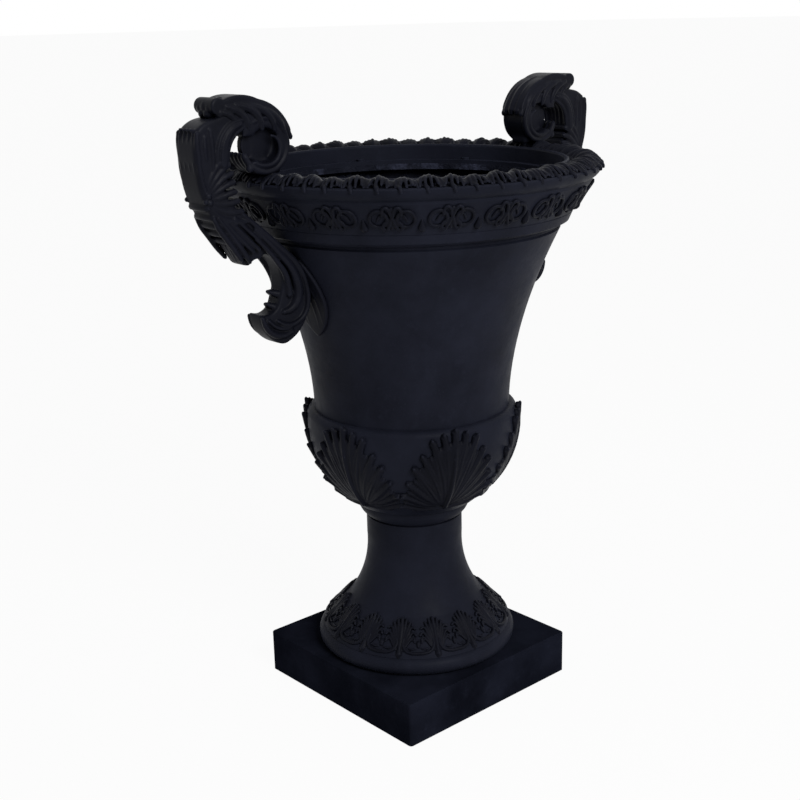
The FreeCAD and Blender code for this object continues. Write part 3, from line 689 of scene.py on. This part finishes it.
# lines on both side faces of the right-hand handle: (distance from the axis, height, roll radius)
SCROLL_LINES = (
    # two beads along the inner edge of the outer sweep
    ((262, 797, 2.4), (278, 794, 3.0), (291, 785, 3.2), (299, 771, 3.2), (302, 757, 3.0), (302, 745, 2.4)),
    ((266, 787, 2.0), (277, 780, 2.8), (285, 769, 3.0), (288, 757, 3.0), (289, 749, 2.4)),
    ((268, 792, 3.6), (280, 787, 5.0), (290, 775, 5.6), (294, 760, 6.0), (295, 748, 5.6)),
    # outer arris and the streaks inside it
    ((327, 786, 2.6), (328, 775, 3.0), (327, 758, 3.0), (326, 742, 3.0), (322, 724, 2.6), (315, 706, 2.4)),
    ((317, 782, 1.8), (318, 770, 2.6), (317, 756, 1.8)),
    ((310, 789, 2.4), (309, 774, 3.2), (308, 758, 3.0), (309, 744, 2.0)),
    # hanging fingers under the shell
    ((312, 690, 2.4), (305, 676, 3.4), (296, 664, 3.6), (286, 650, 3.4), (276, 637, 2.8)),
    ((306, 690, 2.0), (294, 674, 3.2), (282, 658, 3.6), (270, 641, 3.4), (264, 633, 2.6)),
    ((300, 688, 2.0), (287, 673, 2.8), (274, 659, 3.2), (260, 645, 2.8)),
    ((292, 686, 2.2), (277, 671, 3.2), (262, 656, 3.2), (251, 646, 2.4)),
    ((284, 688, 2.0), (268, 673, 2.8), (253, 659, 2.8), (245, 650, 2.2)),
    # stem ridges down to the tail
    ((272, 690, 2.8), (252, 673, 3.6), (233, 656, 4.0), (213, 639, 4.0), (197, 623, 4.0), (187, 606, 4.0),
     (181, 590, 4.0), (180, 575, 3.8), (184, 561, 3.6), (196, 551, 3.2), (213, 549, 2.8), (227, 556, 2.0)),
    ((262, 681, 1.6), (243, 664, 2.2), (224, 647, 2.4), (206, 629, 2.4), (196, 613, 2.4), (190, 598, 2.4),
     (188, 584, 2.4)),
    ((256, 671, 2.6), (238, 654, 3.8), (219, 635, 4.6), (205, 618, 5.2), (198, 602, 6.0), (195, 588, 7.0),
     (198, 576, 6.6), (207, 568, 5.0), (218, 566, 3.2)),
    ((256, 660, 2.4), (240, 645, 3.0), (225, 628, 3.4), (214, 612, 3.8), (209, 597, 4.4), (208, 586, 5.0)),
    # tail leaf
    ((206, 540, 3.4), (220, 537, 3.8), (234, 541, 4.0), (244, 551, 3.6), (249, 563, 2.4)),
    ((200, 549, 2.2), (214, 545, 2.6), (229, 549, 2.6), (240, 558, 2.2)),
)
# flutes of the shell, from its rosette to the handle's inner edge, where each runs across the handle
SHELL_FLUTES = (
    ((316, 728, 1.8), (309, 740, 3.0), (300, 751, 3.8), (291, 758, 3.2)),
    ((314, 724, 1.8), (306, 734, 3.2), (296, 743, 4.0), (287, 748, 3.6)),
    ((312, 720, 1.8), (303, 728, 3.2), (293, 735, 4.2), (284, 738, 3.8)),
    ((311, 716, 1.8), (301, 721, 3.2), (290, 726, 4.2), (282, 728, 3.8)),
    ((310, 711, 1.8), (299, 713, 3.0), (288, 716, 4.2), (280, 717, 3.8)),
    ((311, 707, 1.8), (299, 705, 3.0), (286, 705, 4.2), (277, 706, 3.6)),
    ((311, 703, 1.6), (299, 697, 2.8), (286, 694, 4.0), (272, 694, 3.4)),
    ((312, 699, 1.6), (300, 689, 2.6), (285, 683, 3.6), (264, 682, 3.0)),
)
# short leaf tips at the tail's inner curve and under the hanging lobe, in the middle plane
TIP_SPIKES = (
    ((213, 585, 5.5), (222, 588, 4.4), (229, 590.5, 2.2)),
    ((218, 569, 5.5), (227, 573, 4.2), (233, 576, 2.2)),
    ((282, 656, 6.0), (276, 644, 5.0), (271, 634, 3.4)),
)
# thick inner edge of the outer sweep, across the handle
SWEEP_INSIDE = ((270, 791), (281, 786), (290, 775), (293, 761), (294, 748))
# bumps across the outer outline below the shell
OUTLINE_BUMPS = ((320.0, 702.0), (313.5, 690.5), (306.0, 680.0), (298.0, 670.0), (290.0, 660.5))
# ridge down the outer face, one line of it at each distance from the middle plane
OUTER_RIDGE = ((327.6, 784, 2.6), (328.6, 764, 2.8), (327.4, 744, 2.8), (322.6, 724, 2.6), (316.0, 706, 2.2))
# bite out of the inner edge under the hanging lobe: distance from the axis, height, radius
HANGING_NOTCH = (250.0, 620.0, 15.0)

# inner ring of the volute: degrees round its centre (0 points away from the axis), distance, roll radius
VOLUTE_CENTRE = (234.0, 765.0)
VOLUTE_RINGS = (
    ((58, 32.0, 2.6), (90, 31.5, 3.0), (125, 31.0, 3.2), (160, 31.0, 3.4), (195, 31.0, 3.4), (230, 30.5, 3.4),
     (262, 30.5, 3.4), (290, 30.5, 3.4), (318, 31.0, 3.2), (340, 31.0, 2.8)),
    ((128, 14.0, 1.6), (150, 17.0, 2.0), (180, 20.0, 2.6), (210, 22.0, 3.2), (240, 23.0, 3.6),
     (268, 23.0, 3.4), (292, 23.5, 2.8), (314, 25.0, 2.2)),
)

# lip of the volute's cup below the gap: degrees round the centre, distance
VOLUTE_LIP = ((262, 29.0), (285, 29.5), (305, 30.0), (325, 30.5), (343, 31.0))

# top of the crest, side to side at three distances from the middle plane
CREST_LINE = ((197, 776), (204, 789), (215, 801), (231, 810), (250, 815), (270, 816), (288, 813))
CREST_SIDE_LEAVES = (
    ((291, 806, 3.2), (283, 803, 4.4), (276, 797, 3.8), (272, 790, 2.6)),
    ((286, 812, 3.0), (275, 808, 4.8), (264, 801, 5.0), (258, 792, 4.4), (256, 785, 3.0)),
    ((274, 813, 3.0), (260, 810, 5.0), (247, 803, 5.2), (240, 793, 4.6), (238, 784, 3.2)),
    ((256, 812, 3.0), (242, 808, 4.6), (229, 800, 5.0), (222, 790, 4.4), (220, 782, 3.0)),
    ((238, 808, 3.0), (224, 801, 4.4), (213, 791, 4.4), (208, 781, 3.6), (206, 775, 2.4)),
    ((272, 802, 1.8), (264, 797, 2.6), (262, 789, 1.8)),
    ((252, 802, 1.8), (245, 796, 2.6), (244, 788, 1.8)),
)
# knobs of the crest's curl: distance from the axis, distance from the middle plane, height, radius
CREST_KNOBS = ((296.0, 0.0, 811.5, 10.5), (298.5, 9.0, 811.0, 7.6), (291.0, 13.0, 814.0, 6.4),
               (293.0, 14.0, 805.5, 6.2), (301.0, 5.0, 805.0, 6.0), (286.0, 6.0, 817.0, 6.0))
# rosette in the middle of the shell: distance from the axis, height, radius
ROSETTE = ((318.0, 716.0, 4.2), (316.0, 708.0, 3.6), (321.5, 709.5, 3.0))
BACKING_RIBS = (
    ((5, 622, 1.6), (12, 606, 2.2), (17, 586, 2.4), (19, 560, 2.2), (17, 538, 1.6)),
    ((2, 620, 1.6), (6, 602, 2.2), (9, 580, 2.4), (10, 554, 2.2), (8, 532, 1.6)),
    ((10, 616, 1.4), (18, 600, 1.8), (24, 582, 2.0), (26, 566, 1.4)),
)


def bell_radius(height):
    """Outside of the bell at a height."""
    share = max(0.0, min(1.0, (height - 404.0) / 238.0))
    return 131.5 + 66.0 * share ** 1.8


def on_volute(degrees, distance, sideways):
    turn = math.radians(degrees)
    r, z = VOLUTE_CENTRE
    return Vector((r + distance * math.cos(turn), sideways, z + distance * math.sin(turn)))


def scroll_lines(half_width):
    lines = []
    for side in (1.0, -1.0):
        for line in SCROLL_LINES:
            inset = [0.6 if z > 640 else 2.6 if z > 600 else 5.0 for _, z, _ in line]
            lines.append([(Vector((r, side * (half_width - sink), z)), roll)
                          for (r, z, roll), sink in zip(line, inset)])
        for flute in SHELL_FLUTES:
            lines.append([(Vector((r, side * (half_width - 1.2), z)), roll) for r, z, roll in flute])
        for ring in VOLUTE_RINGS:
            lines.append([(on_volute(t, d, side * (half_width - 1.6)), roll) for t, d, roll in ring])
    for flute in SHELL_FLUTES:
        r, z, roll = flute[-1]
        lines.append([(Vector((r + 1.5, y, z)), roll + 0.6) for y in (-16.5, -5.5, 5.5, 16.5)])
        r, z, roll = flute[-2]
        lines.append([(Vector((r, y, z)), roll) for y in (-16.5, 0.0, 16.5)])
    for row in range(5):
        lines.append([(on_volute(t, d, 7.6 * (row - 2)), 4.2) for t, d in VOLUTE_LIP])
        lines.append([(Vector((r, 7.0 * (row - 2), z)), 5.2) for r, z in SWEEP_INSIDE])
    for spike in TIP_SPIKES:
        for y in (-6.0, 0.0, 6.0):
            lines.append([(Vector((r, y * (1.0 - 0.3 * n), z)), roll)
                          for n, (r, z, roll) in enumerate(spike)])
    for r, z in OUTLINE_BUMPS:
        lines.append([(Vector((r - 0.14 * abs(y), y, z)), 4.4) for y in (-16.0, -5.5, 5.5, 16.0)])
    for y in (-13.0, -4.5, 4.5, 13.0):
        lines.append([(Vector((314.0, y, 781.0)), 5.5), (Vector((324.0, y, 786.0)), 4.2),
                      (Vector((330.2, y * 0.8, 789.5)), 1.6)])
        lines.append([(Vector((r, y, z)), roll) for r, z, roll in OUTER_RIDGE])
    return lines


# ---- studio, in metres ------------------------------------------------------------------

FLOOR_SPAN = 240.0
FLOOR_WHITE = 0.95              # how much of the floor the camera sees as plain white
LAMP_AIM = Vector((0.0, 0.0, 0.48))
TO_THE_RIGHT = Vector((0.743, -0.669, 0.0))
TOWARD_CAMERA = Vector((-0.663, -0.748, 0.0))
# lamps: name, distance towards the camera, distance to the right, height over the aim, size
LAMPS = (("key", 1.9, 1.2, 1.3, 1.2), ("top", 0.5, -0.3, 2.2, 1.6))
# camera fitted to the photo: its place, and the ways across, up and back
CAMERA_PLACE = (-1.12187701, -1.24160589, 0.90391360)
CAMERA_AXES = ((0.74346479, -0.66836455, -0.02342929), (0.20758477, 0.19732369, 0.95810851),
               (-0.63574261, -0.71718351, 0.28544551))


class UrnSizes(bpy.types.PropertyGroup):
    """How proud the carving stands and how finely it is cast."""

    palmette_relief: bpy.props.FloatProperty(
        name="Palmette relief", description="How far the foot palmettes stand off the band",
        default=4.0 * MM, min=1.0 * MM, max=8.0 * MM, unit="LENGTH")
    leaf_relief: bpy.props.FloatProperty(
        name="Leaf relief", description="How far the acanthus leaves stand off the bowl",
        default=5.5 * MM, min=2.0 * MM, max=10.0 * MM, unit="LENGTH")
    frieze_relief: bpy.props.FloatProperty(
        name="Frieze relief", description="How far the strapwork stands off the neck",
        default=3.4 * MM, min=1.0 * MM, max=6.0 * MM, unit="LENGTH")
    handle_width: bpy.props.FloatProperty(
        name="Handle half width", description="Middle plane of a handle to its side faces",
        default=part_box("right_handle_scroll")[1].y, min=10.0 * MM, max=30.0 * MM, unit="LENGTH")
    fine_grain: bpy.props.FloatProperty(
        name="Fine casting grain", description="Smallest detail kept in the small ornament",
        default=0.7 * MM, min=0.4 * MM, max=2.0 * MM, unit="LENGTH")
    coarse_grain: bpy.props.FloatProperty(
        name="Coarse casting grain", description="Smallest detail kept in the leaves and the handles",
        default=1.0 * MM, min=0.6 * MM, max=3.0 * MM, unit="LENGTH")


class UrnFinish(bpy.types.PropertyGroup):
    """Colours and gloss of the paint."""

    body_colour: bpy.props.FloatVectorProperty(
        name="Body colour", description="Paint of the turned body", subtype="COLOR", size=3,
        default=(0.0122, 0.0136, 0.0222), min=0.0, max=1.0)
    # The ornament and handles bear the body's paint. This colour is set darker as painted shade over the
    # carved relief.
    ornament_shaded_colour: bpy.props.FloatVectorProperty(
        name="Ornament colour", description="Paint of the carved ornament and handles", subtype="COLOR",
        size=3,
        default=(0.0066, 0.0072, 0.0118), min=0.0, max=1.0)
    plinth_colour: bpy.props.FloatVectorProperty(
        name="Plinth colour", description="Paint of the plinth", subtype="COLOR", size=3,
        default=(0.0095, 0.0108, 0.0180), min=0.0, max=1.0)
    sheen: bpy.props.FloatProperty(
        name="Roughness", description="Roughness of the body's paint", subtype="FACTOR",
        default=0.46, min=0.1, max=1.0)


class UrnStudio(bpy.types.PropertyGroup):
    """Floor, lamps and camera."""

    floor_colour: bpy.props.FloatVectorProperty(
        name="Floor colour", description="Colour of the plain floor", subtype="COLOR", size=3,
        default=(0.92, 0.92, 0.92), min=0.0, max=1.0)
    focal_length: bpy.props.FloatProperty(
        name="Focal length", description="Lens on a 36 mm wide sensor", unit="CAMERA",
        default=57.936, min=20.0, max=200.0)
    key_power: bpy.props.FloatProperty(
        name="Key lamp", description="Power of the large soft lamp at the right", unit="POWER",
        default=42.0, min=0.0, max=500.0)
    fill_power: bpy.props.FloatProperty(
        name="Top lamp", description="Power of the soft lamp overhead", unit="POWER",
        default=4.0, min=0.0, max=500.0)


def relief(name):
    return getattr(bpy.context.scene.urn_sizes, name) / MM


class URN_OT_turned_body(bpy.types.Operator):
    """Paints the turned castings and the plinth"""

    bl_idname = "urn.turned_body"
    bl_label = "Turned body"

    def execute(self, context):
        paint_node("plinth", "plinth black")
        for node in ("socle", "knop_ring", "bowl"):
            paint_node(node, "turned black")
        bowl = lathe("bowl_with_shoulder", bowl_section())
        for n in range(3):
            cut(bowl, disc(polar(90.0 + 120.0 * n, *DRAIN_PLACE), DRAIN_RADIUS, 20.0, upright=True))
        pick(bowl)
        bpy.ops.object.shade_smooth_by_angle(angle=math.radians(24.0))
        settle(bowl, "body_paint", paints()["turned black"], "bowl")
        paint_node("bell_body", "body black")
        paint_node("rim", "turned black")
        paint_node("inner_collar", "turned black")
        return {"FINISHED"}


class URN_OT_fixings(bpy.types.Operator):
    """Paints the rod, nuts, bolts, screws and rivets"""

    bl_idname = "urn.fixings"
    bl_label = "Fixings"

    def execute(self, context):
        for node in ("tie_rod", "tie_rod_washers", "tie_rod_nuts", "handle_bolts", "bell_screws",
                     "rim_screws", "leaf_rivets"):
            paint_node(node, "blackened fixings")
        return {"FINISHED"}


class URN_OT_foot_palmettes(bpy.types.Operator):
    """Carves fifteen fan palmettes round the foot"""

    bl_idname = "urn.foot_palmettes"
    bl_label = "Foot palmettes"

    def execute(self, context):
        fan = fuse("foot_palmette_01", [rolls(palmette(relief("palmette_relief")))],
                   relief("fine_grain"), 2, 0.55)
        bed_down(fan, lambda p: cone_depth(BAND_FOOT, BAND_HEAD, p))
        turn_to(fan, PALMETTE_START)
        all_round(fan, "foot_palmette_{:02d}", PALMETTES, "foot_palmettes")
        return {"FINISHED"}


class URN_OT_foot_loops(bpy.types.Operator):
    """Carves fifteen ribbon loops between the palmettes"""

    bl_idname = "urn.foot_loops"
    bl_label = "Foot loops"

    def execute(self, context):
        ribbon = fuse("foot_loop_01", [rolls(loop(relief("palmette_relief")))], relief("fine_grain"), 2, 0.55)
        bed_down(ribbon, lambda p: cone_depth(BAND_FOOT, BAND_HEAD, p))
        turn_to(ribbon, LOOP_START)
        all_round(ribbon, "foot_loop_{:02d}", PALMETTES, "foot_loops")
        return {"FINISHED"}


class URN_OT_acanthus_leaves(bpy.types.Operator):
    """Carves six acanthus leaves round the bowl"""

    bl_idname = "urn.acanthus_leaves"
    bl_label = "Acanthus leaves"

    def execute(self, context):
        blade = fuse("acanthus_leaf_carved_1", [rolls(leaf(relief("leaf_relief")))],
                     relief("coarse_grain"), 2, 0.6)
        bed_down(blade, ball_depth)
        turn_to(blade, LEAF_START)
        all_round(blade, "acanthus_leaf_carved_{}", LEAVES, "acanthus_leaf_{}")
        return {"FINISHED"}


class URN_OT_frieze_motifs(bpy.types.Operator):
    """Carves the strapwork motifs round the neck"""

    bl_idname = "urn.frieze_motifs"
    bl_label = "Frieze motifs"

    def execute(self, context):
        motif = fuse("frieze_motif_01", [rolls(frieze_motif(relief("frieze_relief")))],
                     relief("fine_grain"), 2, 0.5)
        bed_down(motif, lambda p: cone_depth(FRIEZE_FOOT, FRIEZE_HEAD, p))
        turn_to(motif, MOTIF_START)
        all_round(motif, "frieze_motif_{:02d}", MOTIFS, "frieze_motifs")
        return {"FINISHED"}


class URN_OT_frieze_beads(bpy.types.Operator):
    """Carves the pear-shaped beads between the motifs"""

    bl_idname = "urn.frieze_beads"
    bl_label = "Frieze beads"

    def execute(self, context):
        bead = fuse("frieze_bead_01", [rolls(pear_bead(), ring=4)], 0.6, 2, 0.6)
        bed_down(bead, lambda p: cone_depth(FRIEZE_FOOT, FRIEZE_HEAD, p))
        turn_to(bead, MOTIF_START + 180.0 / MOTIFS)
        all_round(bead, "frieze_bead_{:02d}", MOTIFS, "frieze_beads")
        return {"FINISHED"}


class URN_OT_rim_border(bpy.types.Operator):
    """Carves the leaf border on top of the rim"""

    bl_idname = "urn.rim_border"
    bl_label = "Rim border"

    def execute(self, context):
        unit = fuse("rim_border_01", [rolls(border_unit())], relief("coarse_grain"), 2, 0.5)
        seat = (RIM_TOP - 0.3) * MM
        for vertex in unit.data.vertices:
            if math.hypot(vertex.co.x, vertex.co.y) < RIM_EDGE * MM:
                vertex.co.z = max(vertex.co.z, seat)
        edge = CAD_BOX[1].y - 0.0002

        def trim(each):
            keep_within(each, (-0.3, -edge, 0.70), (0.3, edge, 0.76))

        all_round(unit, "rim_border_{:02d}", BORDER_UNITS, "rim_leaf_border", trim)
        return {"FINISHED"}


class URN_OT_handle_scrolls(bpy.types.Operator):
    """Carves the scroll, sweep, stem and tail of both handles"""

    bl_idname = "urn.handle_scrolls"
    bl_label = "Handle scrolls"

    def execute(self, context):
        half = relief("handle_width")
        core = fuse("core", [node_copy("right_handle_scroll")], 1.4, 30)
        r, z, size = HANGING_NOTCH
        cut(core, disc(Vector((r, 0.0, z)), size, 60.0))
        r, z = VOLUTE_CENTRE
        parts = [core, rolls(scroll_lines(half)), disc(Vector((r, 0.0, z)), 25.0, 9.0)]
        for side in (1.0, -1.0):
            for reach, level, size in ROSETTE:
                parts.append(ball(Vector((reach, side * half, level)), size))
            parts.append(ball(Vector((r + 24.0, side * (half - 2.0), z - 24.0)), 4.8))
        scroll = fuse("handle_scroll_right", parts, relief("coarse_grain"), 3, 0.74)
        keep_within(scroll, (0.16, -0.023, 0.52), (CAD_BOX[1].x - 0.0001, 0.023, 0.82))
        on_both_handles(scroll, "handle black", "handle_scroll")
        return {"FINISHED"}


class URN_OT_handle_crests(bpy.types.Operator):
    """Carves the crest leaf over the volute of both handles"""

    bl_idname = "urn.handle_crests"
    bl_label = "Handle crests"

    def execute(self, context):
        core = fuse("core", [node_copy("right_handle_crest")], 1.2, 12)
        lines = [[(Vector((r, 0.0, z)), 6.5) for r, z in CREST_LINE]]
        for side in (1.0, -1.0):
            lines.append([(Vector((r, side * 9.5, z - 0.5)), 5.5) for r, z in CREST_LINE])
            lines.append([(Vector((r, side * 16.0, z - 4.0)), 3.6) for r, z in CREST_LINE])
            for line in CREST_SIDE_LEAVES:
                lines.append([(Vector((r, side * 17.6, z)), roll) for r, z, roll in line])
        parts = [core, rolls(lines)]
        for r, y, z, size in CREST_KNOBS:
            for side in ((1.0,) if y == 0.0 else (1.0, -1.0)):
                parts.append(ball(Vector((r, side * y, z)), size))
        crest = fuse("handle_crest_right", parts, relief("coarse_grain"), 2)
        keep_within(crest, (0.16, -0.025, 0.7), (CAD_BOX[1].x - 0.0001, 0.025, CAD_BOX[1].z - 0.0001))
        on_both_handles(crest, "handle black", "handle_crest")
        return {"FINISHED"}


class URN_OT_handle_backings(bpy.types.Operator):
    """Carves the leaf between a handle's tail and the bell"""

    bl_idname = "urn.handle_backings"
    bl_label = "Handle backings"

    def execute(self, context):
        lines = []
        for side in (1.0, -1.0):
            for rib in BACKING_RIBS:
                line = []
                for sideways, level, roll in rib:
                    reach = math.sqrt(max(0.0, (bell_radius(level) + 4.4) ** 2 - sideways ** 2))
                    line.append((Vector((reach, side * sideways, level)), roll))
                lines.append(line)
        core = fuse("core", [node_copy("right_handle_backing")], 1.0, 10)
        backing = fuse("handle_backing_right", [core, rolls(lines)], relief("coarse_grain"), 3)
        on_both_handles(backing, "ornament black", "handle_backing")
        return {"FINISHED"}


class URN_OT_studio(bpy.types.Operator):
    """Lays the floor, hangs the lamps and sets up the camera"""

    bl_idname = "urn.studio"
    bl_label = "Studio"

    def execute(self, context):
        look = context.scene.urn_studio
        bpy.ops.object.select_all(action="DESELECT")
        bpy.ops.mesh.primitive_plane_add(size=FLOOR_SPAN, location=(0.0, 0.0, 0.0))
        floor = context.object
        floor.name = "floor"
        material = bpy.data.materials.new("pale floor")
        material.use_nodes = True
        tree = material.node_tree
        surface = tree.nodes["Principled BSDF"]
        surface.inputs["Base Color"].default_value = (*look.floor_colour, 1.0)
        surface.inputs["Roughness"].default_value = 0.9
        surface.inputs["Specular IOR Level"].default_value = 0.1
        glow = tree.nodes.new("ShaderNodeEmission")
        glow.inputs["Strength"].default_value = 1.0
        show(tree, FLOOR_WHITE, surface.outputs["BSDF"], glow.outputs["Emission"], "Material Output")
        floor.data.materials.append(material)

        world = bpy.data.worlds.new("plain studio")
        context.scene.world = world
        world.use_nodes = True
        tree = world.node_tree
        plain = tree.nodes["Background"]
        plain.inputs["Color"].default_value = (1.0, 1.0, 1.0, 1.0)
        plain.inputs["Strength"].default_value = 0.20
        white = tree.nodes.new("ShaderNodeBackground")
        white.inputs["Color"].default_value = (1.0, 1.0, 1.0, 1.0)
        white.inputs["Strength"].default_value = 1.0
        show(tree, 1.0, plain.outputs["Background"], white.outputs["Background"], "World Output")

        for name, forward, sideways, above, size in LAMPS:
            place = LAMP_AIM + TOWARD_CAMERA * forward + TO_THE_RIGHT * sideways + Vector((0, 0, above))
            lamp(name, place, size, look.key_power if name == "key" else look.fill_power)

        bpy.ops.object.camera_add()
        camera = context.object
        camera.name = "camera"
        turn = Matrix(CAMERA_AXES).transposed().to_4x4()
        camera.matrix_world = Matrix.Translation(CAMERA_PLACE) @ turn
        camera.data.sensor_width = 36.0
        camera.data.lens = look.focal_length
        context.scene.camera = camera
        context.scene.view_settings.view_transform = "Standard"
        return {"FINISHED"}


def seen_directly(tree, share):
    """share for what the camera, a reflection or a clear material sees, and 0 for light."""
    path = tree.nodes.new("ShaderNodeLightPath").outputs
    either = compute(tree, "MAXIMUM", path["Is Camera Ray"], path["Is Glossy Ray"])
    either = compute(tree, "MAXIMUM", either, path["Is Transmission Ray"])
    return compute(tree, "MULTIPLY", either, share)


def show(tree, share, lit, seen, output):
    """Sends lit on to the output, with share of seen over it where it is looked at."""
    mix = tree.nodes.new("ShaderNodeMixShader")
    tree.links.new(seen_directly(tree, share), mix.inputs["Fac"])
    tree.links.new(lit, mix.inputs[1])
    tree.links.new(seen, mix.inputs[2])
    tree.links.new(mix.outputs["Shader"], tree.nodes[output].inputs["Surface"])


def lamp(name, place, size, power):
    """A round soft lamp that points at the middle of the urn."""
    bpy.ops.object.light_add(type="AREA", location=place)
    thing = bpy.context.object
    thing.name = name
    thing.rotation_euler = (LAMP_AIM - place).to_track_quat("-Z", "Y").to_euler()
    thing.data.shape = "DISK"
    thing.data.size = size
    thing.data.energy = power


STEPS = (URN_OT_turned_body, URN_OT_fixings, URN_OT_foot_palmettes, URN_OT_foot_loops,
         URN_OT_acanthus_leaves, URN_OT_frieze_motifs, URN_OT_frieze_beads, URN_OT_rim_border,
         URN_OT_handle_scrolls, URN_OT_handle_crests, URN_OT_handle_backings, URN_OT_studio)


class URN_PT_panel(bpy.types.Panel):
    """Sizes, finishes and building steps of the urn"""

    bl_idname = "URN_PT_panel"
    bl_label = "Garden Urn"
    bl_space_type = "VIEW_3D"
    bl_region_type = "UI"
    bl_category = "Urn"

    def draw(self, context):
        for group in (context.scene.urn_sizes, context.scene.urn_finish, context.scene.urn_studio):
            box = self.layout.box()
            for name in group.__annotations__:
                box.prop(group, name)
        for step in STEPS:
            self.layout.operator(step.bl_idname)


CLASSES = (UrnSizes, UrnFinish, UrnStudio, *STEPS, URN_PT_panel)


def register():
    for each in CLASSES:
        bpy.utils.register_class(each)
    bpy.types.Scene.urn_sizes = bpy.props.PointerProperty(type=UrnSizes)
    bpy.types.Scene.urn_finish = bpy.props.PointerProperty(type=UrnFinish)
    bpy.types.Scene.urn_studio = bpy.props.PointerProperty(type=UrnStudio)


def unregister():
    del bpy.types.Scene.urn_sizes
    del bpy.types.Scene.urn_finish
    del bpy.types.Scene.urn_studio
    for each in reversed(CLASSES):
        bpy.utils.unregister_class(each)


def main():
    register()
    for step in STEPS:
        getattr(bpy.ops.urn, step.bl_idname.split(".")[1])()


if __name__ == "__main__":
    main()
